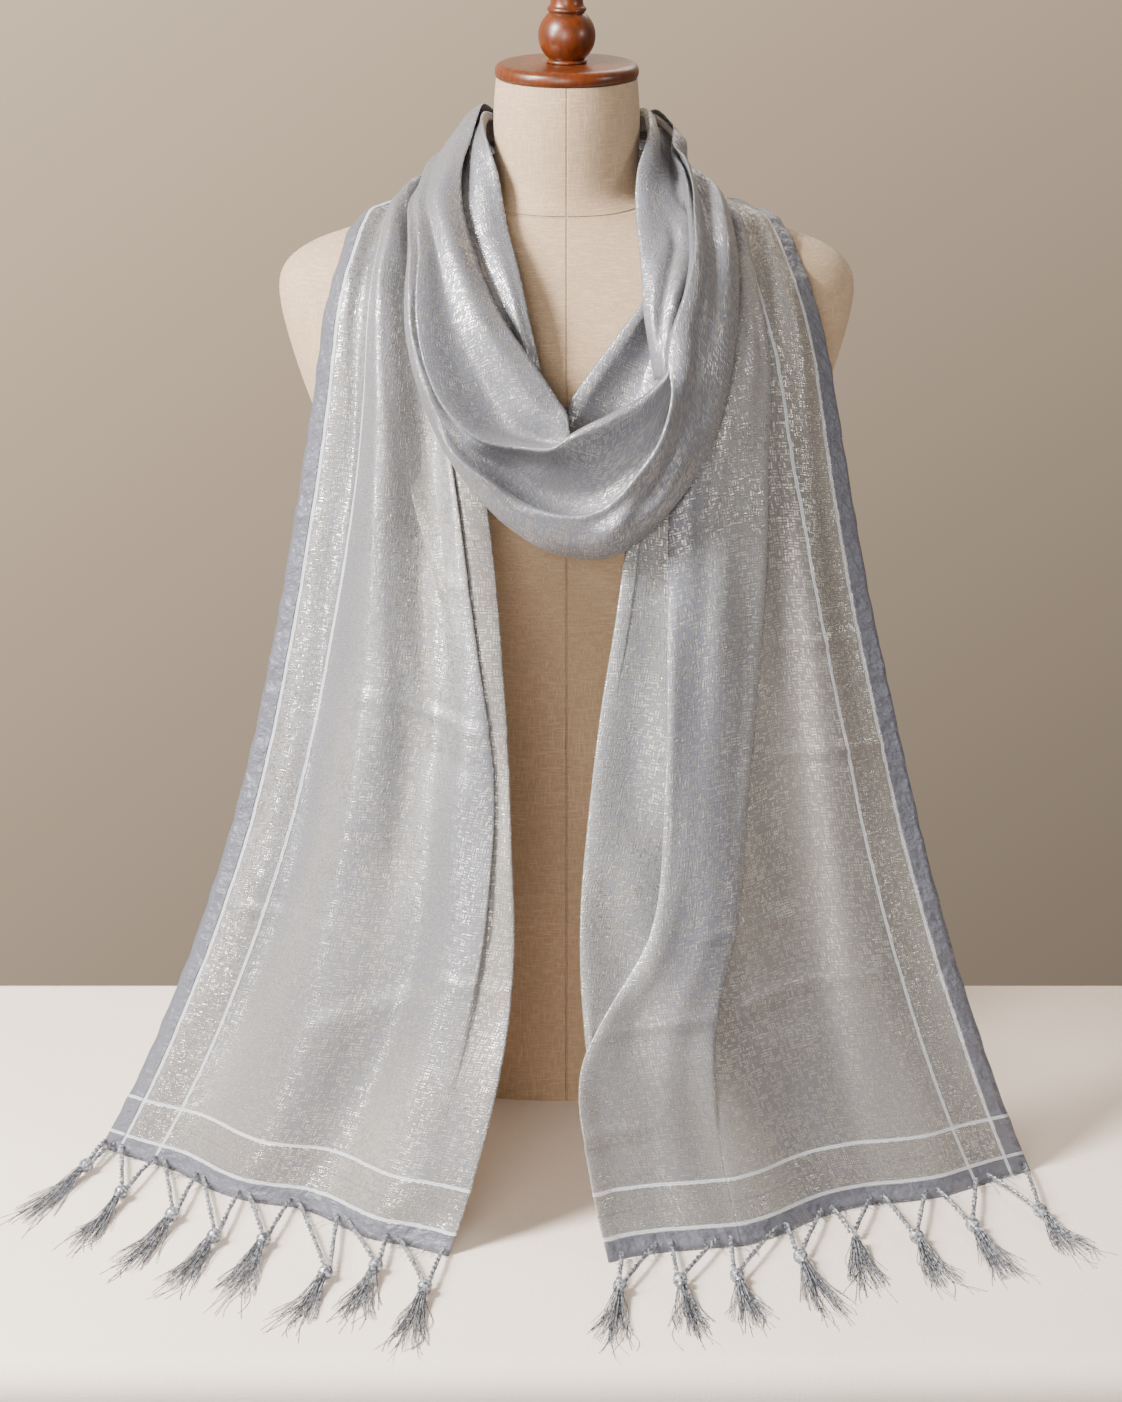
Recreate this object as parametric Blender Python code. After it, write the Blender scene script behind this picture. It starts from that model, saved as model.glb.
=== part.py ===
"""A fringed silk dupatta stole, wound once round the neck of a linen dress form that stands on its base.

Metres, +Z up. The origin is the middle of the form's base, +X is the viewer's right and -Y the front.
The form is a torso with no limbs, a wooden cap on its neck and a turned finial. Each stretch of the
stole that shows is a wall of cloth lofted through sections: two ends that hang over the chest to the
floor, the cowl between them, the bands that show inside it, and the bands behind the neck.
"""

import math
from collections import namedtuple

import bmesh
import bpy
import numpy as np
from mathutils import Matrix, Vector
from mathutils.bvhtree import BVHTree

CLOTH = 0.0012  # thickness of the silk wall
SEAM = 0.0011  # clear space between pieces that lie on each other, which the soft curves use up in part
FOLD_RADIUS = 0.0019  # of a sharp fold, at the middle of the wall
FOLD_STEPS = 3  # flats in a half turn of cloth
SHORTEST_FLAT = 0.0008  # between two turns, where a fold has no cloth under it
SHARP = math.radians(50)  # edges that bend more than this are shaded sharp

# The dress form: a row for each level, from the base up. half_width is to each side, front and back are
# depths from the middle, and blunt is the power of the oval, 2 for an ellipse and more for fuller corners.
FormRow = namedtuple("FormRow", "z half_width front back blunt")
FORM = [
    FormRow(0.000, 0.150, 0.105, 0.105, 2.2),
    FormRow(0.100, 0.158, 0.101, 0.116, 2.2),
    FormRow(0.200, 0.141, 0.092, 0.098, 2.2),
    FormRow(0.290, 0.124, 0.084, 0.078, 2.2),
    FormRow(0.370, 0.132, 0.093, 0.080, 2.2),
    FormRow(0.440, 0.155, 0.117, 0.092, 2.2),
    FormRow(0.490, 0.176, 0.124, 0.098, 2.2),
    FormRow(0.530, 0.191, 0.115, 0.100, 2.3),
    FormRow(0.565, 0.201, 0.098, 0.098, 2.4),
    FormRow(0.590, 0.206, 0.084, 0.090, 2.5),
    FormRow(0.607, 0.204, 0.074, 0.080, 2.5),
    FormRow(0.620, 0.190, 0.067, 0.072, 2.4),
    FormRow(0.631, 0.162, 0.061, 0.064, 2.3),
    FormRow(0.641, 0.122, 0.056, 0.058, 2.2),
    FormRow(0.650, 0.085, 0.052, 0.053, 2.1),
    FormRow(0.660, 0.056, 0.050, 0.050, 2.0),
    FormRow(0.672, 0.049, 0.049, 0.049, 2.0),
    FormRow(0.708, 0.0525, 0.0525, 0.0525, 2.0),
    FormRow(0.7397, 0.0495, 0.0495, 0.0495, 2.0),
]
FORM_SIDES = 32

# Turned profiles as (radius, height), from the bottom up. A stem above the finial's ball ends plainly.
CAP = [(0.0, 0.7400), (0.0485, 0.7400), (0.0500, 0.7415), (0.0502, 0.7455), (0.0490, 0.7485),
       (0.0462, 0.7500), (0.0, 0.7500)]
FINIAL_BALL_Z = 0.7685
FINIAL_BALL_RADIUS = 0.0200
FINIAL_FOOT = [(0.0, 0.7503), (0.0138, 0.7503), (0.0142, 0.7520)]
FINIAL_STEM = [(0.0128, 0.7850), (0.0136, 0.7870), (0.0118, 0.7890), (0.0112, 0.7950), (0.0122, 0.8030),
               (0.0095, 0.8080), (0.0, 0.8100)]
TURNED_SIDES = 18

# A sheet of cloth runs along its rows. outer and inner are the two sides of the band at that row, as seen
# from the front: the side away from the neck and the side towards it.
EndRow = namedtuple("EndRow", "outer inner bow")
LEFT_END = [
    EndRow((-0.336, -0.177, 0.000), (-0.072, -0.337, 0.000), 0.004),
    EndRow((-0.309, -0.173, 0.050), (-0.055, -0.322, 0.050), 0.004),
    EndRow((-0.278, -0.162, 0.120), (-0.036, -0.296, 0.120), 0.005),
    EndRow((-0.248, -0.146, 0.200), (-0.029, -0.262, 0.200), 0.006),
    EndRow((-0.220, -0.125, 0.300), (-0.031, -0.221, 0.300), 0.008),
    EndRow((-0.199, -0.106, 0.400), (-0.037, -0.179, 0.400), 0.012),
    EndRow((-0.181, -0.087, 0.500), (-0.050, -0.143, 0.500), 0.012),
    EndRow((-0.171, -0.073, 0.560), (-0.064, -0.122, 0.560), 0.010),
    EndRow((-0.158, -0.045, 0.608), (-0.075, -0.092, 0.604), 0.005),
    EndRow((-0.144, -0.004, 0.640), (-0.080, -0.052, 0.638), 0.003),
    EndRow((-0.122, 0.024, 0.650), (-0.076, -0.010, 0.652), 0.002),
    EndRow((-0.104, 0.046, 0.648), (-0.068, 0.020, 0.660), 0.002),
    EndRow((-0.074, 0.066, 0.644), (-0.054, 0.044, 0.668), 0.003),
    EndRow((-0.038, 0.078, 0.650), (-0.031, 0.058, 0.686), 0.003),
    EndRow((-0.003, 0.080, 0.654), (-0.003, 0.062, 0.690), 0.003),
]
RIGHT_END = [
    EndRow((0.330, -0.213, 0.000), (0.024, -0.342, 0.000), 0.004),
    EndRow((0.309, -0.207, 0.050), (0.012, -0.322, 0.050), 0.004),
    EndRow((0.284, -0.192, 0.120), (0.004, -0.296, 0.120), 0.005),
    EndRow((0.259, -0.171, 0.200), (0.010, -0.262, 0.200), 0.006),
    EndRow((0.234, -0.145, 0.300), (0.018, -0.221, 0.300), 0.008),
    EndRow((0.211, -0.118, 0.400), (0.033, -0.179, 0.400), 0.012),
    EndRow((0.192, -0.092, 0.500), (0.052, -0.143, 0.500), 0.012),
    EndRow((0.182, -0.075, 0.560), (0.074, -0.120, 0.560), 0.010),
    EndRow((0.169, -0.057, 0.602), (0.086, -0.092, 0.603), 0.007),
    EndRow((0.150, -0.008, 0.641), (0.088, -0.052, 0.638), 0.005),
    EndRow((0.126, 0.024, 0.648), (0.078, -0.010, 0.651), 0.002),
    EndRow((0.106, 0.046, 0.646), (0.069, 0.020, 0.660), 0.002),
    EndRow((0.074, 0.066, 0.644), (0.054, 0.044, 0.668), 0.003),
    EndRow((0.038, 0.078, 0.650), (0.031, 0.058, 0.686), 0.003),
    EndRow((0.003, 0.080, 0.654), (0.003, 0.062, 0.690), 0.003),
]
CHEST_ROW = 6  # the row of each end at the top of its straight fall
SHOULDER_ROW = 8  # the row where it starts to turn over the shoulder
STANDS_BELOW = 0.09  # height under which an end's sections are level, so that the hem stands on the floor
LEFT_TURNED_UNDER = 0.016  # width of the edge turned behind the inner side of each end
RIGHT_TURNED_UNDER = 0.008
# The left end's one fold, a row for each row above: set_in is how far its edge stands in from the inner
# side, overlap is how much cloth it takes under, and turn is 1 for a full fold and 0 where it has opened.
FoldRow = namedtuple("FoldRow", "set_in overlap turn")
LEFT_FOLD = [
    FoldRow(0.030, 0.000, 0.00),
    FoldRow(0.028, 0.000, 0.00),
    FoldRow(0.024, 0.000, 0.10),
    FoldRow(0.016, 0.000, 0.60),
    FoldRow(0.009, 0.008, 1.00),
    FoldRow(0.016, 0.022, 1.00),
    FoldRow(0.018, 0.030, 1.00),
    FoldRow(0.018, 0.016, 1.00),
    FoldRow(0.016, 0.000, 1.00),
    FoldRow(0.014, 0.000, 0.50),
    FoldRow(0.012, 0.000, 0.00),
    FoldRow(0.010, 0.000, 0.00),
    FoldRow(0.008, 0.000, 0.00),
    FoldRow(0.008, 0.000, 0.00),
    FoldRow(0.008, 0.000, 0.00),
]
# The right end's box pleat, a row for each row above. strip_outer and strip_inner are how far in from the
# outer side its two edges lie, as a share of the band's width. under and turn are the left fold's overlap and
# turn, and tail is how far the cloth past the strip goes on beyond the inner side.
PleatRow = namedtuple("PleatRow", "strip_outer strip_inner under turn tail")
RIGHT_PLEAT = [
    PleatRow(0.700, 0.985, 0.000, 0.00, -0.016),
    PleatRow(0.690, 0.985, 0.000, 0.00, -0.016),
    PleatRow(0.670, 0.980, 0.000, 0.30, -0.012),
    PleatRow(0.595, 0.825, 0.006, 1.00, 0.000),
    PleatRow(0.520, 0.792, 0.020, 1.00, 0.000),
    PleatRow(0.450, 0.820, 0.030, 1.00, 0.000),
    PleatRow(0.415, 0.860, 0.034, 1.00, 0.000),
    PleatRow(0.440, 0.860, 0.030, 1.00, 0.000),
    PleatRow(0.520, 0.880, 0.016, 1.00, 0.000),
    PleatRow(0.560, 0.880, 0.000, 1.00, 0.000),
    PleatRow(0.560, 0.860, 0.000, 0.40, 0.000),
    PleatRow(0.560, 0.840, 0.000, 0.00, 0.000),
    PleatRow(0.560, 0.820, 0.000, 0.00, 0.000),
    PleatRow(0.560, 0.800, 0.000, 0.00, 0.000),
    PleatRow(0.560, 0.800, 0.000, 0.00, 0.000),
]
PLEAT_BACK = 0.012  # how much further the strip's inner edge is turned under than its outer one
# Soft waves down each end: where the ridge lies across the hem and across the shoulder, as a share of the
# width, how wide it is, and its height at the hem, at mid length and on the shoulder. A trough is negative.
WaveRow = namedtuple("WaveRow", "at_hem at_top wide hem middle top")
LEFT_WAVES = [
    WaveRow(0.40, 0.36, 0.16, 0.006, 0.009, 0.004),
    WaveRow(0.58, 0.55, 0.12, -0.006, -0.007, -0.003),
    WaveRow(0.80, 0.74, 0.12, 0.005, 0.006, 0.003),
    WaveRow(0.20, 0.20, 0.10, -0.003, -0.005, -0.002),
]
RIGHT_WAVES = [
    WaveRow(0.42, 0.22, 0.12, -0.010, -0.006, -0.003),
    WaveRow(0.68, 0.60, 0.12, 0.012, 0.003, 0.002),
    WaveRow(0.22, 0.34, 0.12, 0.004, 0.006, 0.003),
    WaveRow(0.88, 0.90, 0.08, -0.004, 0.002, 0.001),
]

# The cowl: one loop of cloth from the left of the neck, low round the front, to the right of the neck.
LoopRow = namedtuple("LoopRow", "outer inner")
COWL = [
    LoopRow((-0.058, 0.062, 0.677), (-0.045, 0.050, 0.704)),
    LoopRow((-0.073, 0.040, 0.673), (-0.054, 0.030, 0.704)),
    LoopRow((-0.083, 0.006, 0.660), (-0.062, -0.004, 0.684)),
    LoopRow((-0.093, -0.036, 0.641), (-0.071, -0.048, 0.655)),
    LoopRow((-0.098, -0.072, 0.615), (-0.057, -0.094, 0.621)),
    LoopRow((-0.098, -0.098, 0.582), (-0.040, -0.124, 0.593)),
    LoopRow((-0.083, -0.120, 0.528), (-0.016, -0.138, 0.561)),
    LoopRow((-0.055, -0.143, 0.480), (0.001, -0.146, 0.536)),
    LoopRow((-0.015, -0.153, 0.446), (0.006, -0.152, 0.530)),
    LoopRow((0.028, -0.153, 0.444), (0.024, -0.152, 0.538)),
    LoopRow((0.065, -0.148, 0.475), (0.046, -0.150, 0.552)),
    LoopRow((0.091, -0.133, 0.521), (0.058, -0.142, 0.570)),
    LoopRow((0.103, -0.108, 0.574), (0.061, -0.130, 0.590)),
    LoopRow((0.104, -0.074, 0.617), (0.072, -0.100, 0.625)),
    LoopRow((0.097, -0.034, 0.642), (0.071, -0.048, 0.653)),
    LoopRow((0.083, 0.004, 0.651), (0.061, -0.006, 0.669)),
    LoopRow((0.066, 0.038, 0.658), (0.051, 0.028, 0.682)),
    LoopRow((0.054, 0.062, 0.664), (0.043, 0.050, 0.690)),
]
# Its section: each fold line as (share of the width from the outer side, height off it). The roll's crest
# comes first, then the hollow behind it, the inner lip, the dip behind the lip, the last swell and the edge.
# row is the row of COWL where the section has this shape.
Folds = namedtuple("Folds", "row crest hollow lip dip swell edge")
COWL_SECTIONS = [
    Folds(0, (0.24, 0.004), (0.34, 0.005), (0.45, 0.005), (0.60, 0.004), (0.80, 0.003), (1.00, 0.000)),
    Folds(3, (0.22, 0.009), (0.33, 0.010), (0.44, 0.009), (0.58, 0.008), (0.80, 0.008), (1.00, 0.000)),
    Folds(5, (0.20, 0.016), (0.27, 0.016), (0.35, 0.016), (0.48, 0.009), (0.72, 0.014), (1.00, 0.000)),
    Folds(6, (0.18, 0.018), (0.26, 0.015), (0.39, 0.019), (0.50, 0.005), (0.76, 0.010), (1.00, 0.000)),
    Folds(7, (0.22, 0.022), (0.30, 0.014), (0.62, 0.022), (0.62, 0.003), (0.82, 0.003), (1.00, 0.000)),
    Folds(8, (0.38, 0.027), (0.35, 0.005), (0.97, 0.016), (0.91, -0.002), (0.82, -0.007), (0.68, -0.008)),
    Folds(9, (0.43, 0.029), (0.36, 0.002), (1.00, 0.013), (0.93, -0.004), (0.78, -0.009), (0.56, -0.008)),
    Folds(10, (0.57, 0.028), (0.40, 0.003), (0.98, 0.010), (0.91, -0.005), (0.76, -0.009), (0.52, -0.008)),
    Folds(11, (0.96, 0.024), (0.55, 0.004), (0.94, 0.006), (0.86, -0.006), (0.68, -0.008), (0.44, -0.007)),
    Folds(12, (1.04, 0.017), (0.58, 0.005), (0.88, 0.002), (0.80, -0.006), (0.60, -0.007), (0.40, -0.006)),
    Folds(14, (0.97, 0.009), (0.50, 0.003), (0.85, 0.000), (0.76, -0.004), (0.58, -0.004), (0.40, -0.004)),
    Folds(17, (0.93, 0.005), (0.50, 0.001), (0.84, -0.001), (0.76, -0.004), (0.58, -0.004), (0.40, -0.003)),
]

COWL_COLUMNS = 22  # points across the cowl
# Shares that place the section's other lines: where the outer side rises into the crest, where the hollow
# meets the lip, and where the edge behind the roll lies.
ROLL_SHARE = np.array([0.42, 0.84])
FACE_SHARE = np.array([0.40, 0.80])
TUCK_SHARE = np.array([0.16, -0.30])

# The bands inside the cowl, and the nape, which carries the cowl on behind the neck.
INNER_LEFT = [
    LoopRow((-0.050, 0.060, 0.666), (-0.038, 0.048, 0.696)),
    LoopRow((-0.064, 0.034, 0.674), (-0.052, 0.022, 0.710)),
    LoopRow((-0.074, -0.006, 0.672), (-0.053, -0.010, 0.704)),
    LoopRow((-0.080, -0.040, 0.654), (-0.046, -0.038, 0.678)),
    LoopRow((-0.078, -0.066, 0.632), (-0.041, -0.058, 0.648)),
    LoopRow((-0.060, -0.092, 0.606), (-0.032, -0.086, 0.619)),
    LoopRow((-0.048, -0.108, 0.582), (-0.026, -0.104, 0.594)),
    LoopRow((-0.038, -0.118, 0.552), (-0.018, -0.116, 0.560)),
]
INNER_RIGHT = [
    LoopRow((0.042, -0.122, 0.494), (-0.008, -0.123, 0.517)),
    LoopRow((0.056, -0.116, 0.524), (0.003, -0.121, 0.542)),
    LoopRow((0.066, -0.106, 0.553), (0.024, -0.115, 0.571)),
    LoopRow((0.075, -0.098, 0.579), (0.039, -0.108, 0.590)),
    LoopRow((0.077, -0.084, 0.602), (0.052, -0.098, 0.606)),
    LoopRow((0.076, -0.062, 0.622), (0.058, -0.076, 0.626)),
]
NECK_STRAND = [
    LoopRow((0.048, 0.053, 0.670), (0.038, 0.043, 0.702)),
    LoopRow((0.054, 0.034, 0.678), (0.047, 0.022, 0.713)),
    LoopRow((0.060, -0.006, 0.673), (0.049, -0.010, 0.703)),
    LoopRow((0.070, -0.034, 0.659), (0.046, -0.034, 0.682)),
    LoopRow((0.078, -0.056, 0.644), (0.046, -0.054, 0.658)),
    LoopRow((0.083, -0.074, 0.630), (0.048, -0.078, 0.636)),
    LoopRow((0.078, -0.104, 0.605), (0.052, -0.104, 0.602)),
    LoopRow((0.072, -0.118, 0.581), (0.055, -0.119, 0.579)),
    LoopRow((0.068, -0.127, 0.556), (0.059, -0.128, 0.556)),
]
NAPE = [
    COWL[-1],
    LoopRow((0.042, 0.080, 0.662), (0.031, 0.064, 0.699)),
    LoopRow((0.000, 0.089, 0.652), (0.000, 0.067, 0.708)),
    LoopRow((-0.043, 0.081, 0.664), (-0.031, 0.064, 0.707)),
    COWL[0],
]
NAPE_GAP = 0.04  # how much of a row's length the nape is short of the cowl at each end
# How each band is gathered: its swell, the count and height of its ripples, and its points across.
Gather = namedtuple("Gather", "swell ripples ripple_height columns")
INNER_LEFT_GATHER = Gather(0.005, 2.0, 0.0012, 8)
INNER_RIGHT_GATHER = Gather(0.003, 1.5, 0.0010, 8)
NECK_STRAND_GATHER = Gather(0.008, 1.0, 0.0008, 8)
NAPE_GATHER = Gather(0.005, 2.5, 0.0012, 12)
BAND_EDGE = (0.12, 0.0033)  # a band's turned edges: how far in, as a share of its width, and how far behind

# The tassels on the floor, a row for each: the middle of the knot, the end of the fan, and the two places
# along the hem, as shares of its width from the outer side, that the two cords come from.
TasselRow = namedtuple("TasselRow", "knot tip roots")
LEFT_TASSELS = [
    TasselRow((-0.341, -0.217), (-0.376, -0.288), (0.010, 0.035)),
    TasselRow((-0.311, -0.256), (-0.334, -0.322), (0.060, 0.160)),
    TasselRow((-0.272, -0.287), (-0.298, -0.354), (0.185, 0.290)),
    TasselRow((-0.240, -0.317), (-0.264, -0.378), (0.310, 0.420)),
    TasselRow((-0.206, -0.322), (-0.224, -0.394), (0.440, 0.545)),
    TasselRow((-0.161, -0.366), (-0.184, -0.425), (0.565, 0.675)),
    TasselRow((-0.128, -0.357), (-0.142, -0.418), (0.700, 0.820)),
    TasselRow((-0.094, -0.385), (-0.106, -0.453), (0.850, 0.960)),
]
RIGHT_TASSELS = [
    TasselRow((0.327, -0.282), (0.352, -0.336), (0.015, 0.110)),
    TasselRow((0.278, -0.302), (0.298, -0.364), (0.140, 0.240)),
    TasselRow((0.238, -0.318), (0.256, -0.377), (0.265, 0.360)),
    TasselRow((0.195, -0.316), (0.203, -0.381), (0.385, 0.480)),
    TasselRow((0.157, -0.345), (0.176, -0.413), (0.505, 0.600)),
    TasselRow((0.113, -0.370), (0.122, -0.426), (0.625, 0.730)),
    TasselRow((0.075, -0.376), (0.082, -0.438), (0.755, 0.850)),
    TasselRow((0.035, -0.384), (0.028, -0.450), (0.880, 0.960)),
]
KNOT_RADIUS = 0.0052
KNOT_HEIGHT = 0.0068  # of the knot's middle above the floor
STRAND_RADIUS = 0.0011
STRAND_HEIGHTS = (0.0021, 0.0043)  # of every other strand's tip above the floor
STRAND_SPREAD = 0.013  # how far the fan's outer strands end to each side
STRAND_SHORTER = 0.12  # the most that a strand is shorter than the fan, as a share of it
UNEVEN = 0.618  # turns the count of the strands into lengths with no order
STRAND_STEPS = (0.16, 0.5, 1.0)  # places along a strand
STRAND_DROP = 1.8  # how much sooner than its tip a strand comes down to the floor
CORD_RADIUS = 0.0013
CORD_STEPS = (0.2, 0.6, 1.0)  # places along a cord
CORD_ARCH = 0.0012  # how far a cord rises in its middle
ROOT_FLARE = 1.25  # how much wider a strand or a cord is where it leaves the knot
HEM_GAP = 0.0003  # between the end of a cord and the cloth
HEM_HEIGHT = 0.006  # where the cords meet the cloth

SILK = ("silk", (0.43, 0.46, 0.51), 0.38, 0.55)
LINEN = ("linen", (0.62, 0.53, 0.43), 0.85, 0.0)
WOOD = ("wood", (0.30, 0.17, 0.09), 0.40, 0.0)
TASSEL_SILK = ("tassel_silk", (0.36, 0.38, 0.40), 0.45, 0.2)


def clear_scene():
    for obj in list(bpy.data.objects):
        bpy.data.objects.remove(obj, do_unlink=True)


def material(look):
    """The material of this look, as (name, colour, roughness, metallic)."""
    name, colour, roughness, metallic = look
    made = bpy.data.materials.get(name)
    if made is None:
        made = bpy.data.materials.new(name)
        made.use_nodes = True
        shader = made.node_tree.nodes["Principled BSDF"]
        shader.inputs["Base Color"].default_value = (*colour, 1.0)
        shader.inputs["Roughness"].default_value = roughness
        shader.inputs["Metallic"].default_value = metallic
    return made


def add_solid(name, mesh, look):
    """An object of this bmesh, its faces turned out and shaded smooth."""
    bmesh.ops.recalc_face_normals(mesh, faces=mesh.faces)
    if mesh.calc_volume(signed=True) < 0:
        bmesh.ops.reverse_faces(mesh, faces=mesh.faces)
    data = bpy.data.meshes.new(name)
    mesh.to_mesh(data)
    mesh.free()
    data.shade_smooth()
    data.set_sharp_from_angle(angle=SHARP)
    data.materials.append(material(look))
    made = bpy.data.objects.new(name, data)
    bpy.context.scene.collection.objects.link(made)
    return made


# Curves and frames


def through(values, at):
    """A smooth curve through values, one for each whole number, read at the numbers in at."""
    values = np.asarray(values, float)
    at = np.clip(np.asarray(at, float), 0, len(values) - 1)
    start = np.minimum(at.astype(int), len(values) - 2)
    part = (at - start).reshape(-1, *([1] * (values.ndim - 1)))
    slopes = np.gradient(values, axis=0)
    low, high = values[start], values[start + 1]
    return (
        low * (1 + 2 * part) * (1 - part) ** 2
        + high * part**2 * (3 - 2 * part)
        + slopes[start] * part * (1 - part) ** 2
        - slopes[start + 1] * part**2 * (1 - part)
    )


def smooth_step(low, high, at):
    part = np.clip((np.asarray(at, float) - low) / (high - low), 0, 1)
    return part * part * (3 - 2 * part)


def unit(vectors):
    return vectors / np.linalg.norm(vectors, axis=-1, keepdims=True)


CORE_BELOW = 0.03  # how far below a band the line lies that it faces away from


class Frames:
    """A band's outer side, width direction, width and outward direction at each place along it."""

    def __init__(self, rows, at, stands=False):
        self.at = at
        self.outer = through([row.outer for row in rows], at)
        inner = through([row.inner for row in rows], at)
        self.width = np.linalg.norm(inner - self.outer, axis=1)
        self.across = unit(inner - self.outer)
        middle = (inner + self.outer) / 2
        along = unit(np.gradient(middle, axis=0))
        out = unit(np.cross(along, self.across))
        # Away from a line inside the chest and the neck.
        core = np.column_stack([middle[:, 0] / 2, np.zeros(len(at)), middle[:, 2] - CORE_BELOW])
        if np.sum(np.sum(out * (middle - core), axis=1)) < 0:
            out = -out
        if stands:
            level = smooth_step(0.0, STANDS_BELOW, middle[:, 2])
            out[:, 2] *= level
            out = unit(out)
        self.out = out

    def place(self, across, height):
        """Points, a row for each frame, from distances across the band and off it."""
        return (
            self.outer[:, None]
            + self.across[:, None] * across[..., None]
            + self.out[:, None] * height[..., None]
        )


# Sections


class Section:
    """A cross-section of cloth, walked from the outer side: straights and turns in (across, height)."""

    def __init__(self):
        self.across, self.height, self.heading = [0.0], [0.0], 0.0

    def straight(self, length, steps):
        length = max(length, SHORTEST_FLAT * steps)
        for _ in range(steps):
            self.across.append(self.across[-1] + length / steps * math.cos(self.heading))
            self.height.append(self.height[-1] + length / steps * math.sin(self.heading))

    def turn(self, share):
        """A turn by this share of half a turn, towards the front if positive, as an arc of fixed length."""
        step = math.pi * share / FOLD_STEPS
        for _ in range(FOLD_STEPS):
            self.heading += step / 2
            self.straight(math.pi * FOLD_RADIUS / FOLD_STEPS, 1)
            self.heading += step / 2


PANEL_FLATS, STRIP_FLATS, TAIL_FLATS, TURNED_FLATS = 9, 6, 3, 2


def left_section(width, fold):
    """The left end's section: the panel, its fold, the strip behind it and the edge turned under."""

    def walk(panel):
        section = Section()
        section.straight(panel, PANEL_FLATS + TAIL_FLATS)
        section.turn(-fold.turn)
        section.straight(fold.overlap, TURNED_FLATS)
        section.turn(fold.turn)
        section.straight(fold.overlap + fold.set_in, TAIL_FLATS)
        section.turn(-1)
        section.straight(LEFT_TURNED_UNDER, TURNED_FLATS)
        return section

    reach = max(walk(0.0).across)
    return walk(width - reach)


def right_section(width, pleat):
    """The right end's section: the panel, the box pleat's strip in front of it, the tail and the edge."""
    outer, inner = pleat.strip_outer * width, pleat.strip_inner * width
    section = Section()
    section.straight(outer + pleat.under * pleat.turn, PANEL_FLATS)
    section.turn(pleat.turn)
    section.straight(pleat.under, TURNED_FLATS)
    section.turn(-pleat.turn)
    section.straight(inner - section.across[-1], STRIP_FLATS)
    section.turn(-1)
    section.straight(pleat.under + PLEAT_BACK, TURNED_FLATS)
    section.turn(1)
    section.straight(width + pleat.tail - section.across[-1], TAIL_FLATS)
    section.turn(-1)
    section.straight(RIGHT_TURNED_UNDER, 1)
    return section


def waves(rows, share, along):
    """The height of the soft waves at a share of the width and of the length from the hem."""
    total = np.zeros_like(share)
    for row in rows:
        centre = row.at_hem + (row.at_top - row.at_hem) * along
        height = through([row.hem, row.middle, row.top], along[:, 0] * 2)[:, None]
        total += height * np.exp(-(((share - centre) / row.wide) ** 2))
    return total


# Cloth that lies on what is under it


def solid_tree(obj):
    mesh = obj.data
    points = [vertex.co.copy() for vertex in mesh.vertices]
    return BVHTree.FromPolygons(points, [list(face.vertices) for face in mesh.polygons])


def soften(field, times):
    """The field averaged with its neighbours, which keeps its size."""
    for _ in range(times):
        padded = np.pad(field, 1, mode="edge")
        beside = padded[:-2, 1:-1] + padded[2:, 1:-1] + padded[1:-1, :-2] + padded[1:-1, 2:]
        field = (field * 2 + beside) / 6
    return field


def highest_near(field, rows, columns):
    """The largest value within this many places each way."""
    padded = np.pad(field, ((rows, rows), (columns, columns)), mode="edge")
    tall, wide = field.shape
    found = field
    for down in range(2 * rows + 1):
        for over in range(2 * columns + 1):
            found = np.maximum(found, padded[down : down + tall, over : over + wide])
    return found


SHARES = 33  # places across a band where its bed is worked out
BEYOND = 0.15  # how far past each side of the band the bed reaches, as a share of the width
CLEAR_BESIDE = 0.005  # how far to the side of what is below the cloth starts to rise
LAYER_BESIDE = 0.006  # and how far to the side of its own under layers
FAR = 0.2  # how far off the band its bed is looked for from
DEEPEST = -1.0  # stands for a place with nothing below


def bed(frames, below, lift):
    """How far the cloth must stand off its band to clear what is below, on an even grid over the band."""
    share = np.linspace(-BEYOND, 1 + BEYOND, SHARES)
    across = frames.width[:, None] * share
    needed = np.full(across.shape, DEEPEST)
    start = frames.place(across, np.full(across.shape, FAR))
    for row in range(len(frames.at)):
        direction = Vector(-frames.out[row])
        for column in range(SHARES):
            origin = Vector(start[row, column])
            for tree in below:
                distance = tree.ray_cast(origin, direction, FAR * 5 / 4)[3]
                if distance is not None:
                    needed[row, column] = max(needed[row, column], FAR - distance)
    cell = np.mean(frames.width) * (1 + 2 * BEYOND) / (SHARES - 1)
    beside = max(1, math.ceil(CLEAR_BESIDE / cell))
    needed = highest_near(needed + CLOTH / 2 + SEAM + lift, 1, beside)
    return share, needed


def layer_lift(frames, across, height):
    """How far each place must rise so that no layer of the section lies below the band."""
    share = np.linspace(-BEYOND, 1 + BEYOND, SHARES)
    lift = np.zeros((len(frames.at), SHARES))
    for row in range(len(frames.at)):
        places = share * frames.width[row]
        for first in range(across.shape[1] - 1):
            low, high = sorted(across[row, first : first + 2])
            depth = -min(height[row, first : first + 2])
            near = (places > low - LAYER_BESIDE) & (places < high + LAYER_BESIDE)
            lift[row, near] = np.maximum(lift[row, near], depth)
    return lift


def read_grid(share, grid, wanted):
    """The grid's values at these shares of the width, row by row."""
    return np.array([np.interp(places, share, values) for places, values in zip(wanted, grid)])


def lay(frames, across, height, below):
    """Points of a sheet's middle: its section, raised clear of what is below and of its own under layers."""
    lift = soften(layer_lift(frames, across, height), 2)
    share, needed = bed(frames, below, lift)
    base = np.maximum(soften(np.maximum(needed, lift), 2), needed)
    raised = height + read_grid(share, base, across / frames.width[:, None])
    return frames.place(across, raised)


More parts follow.
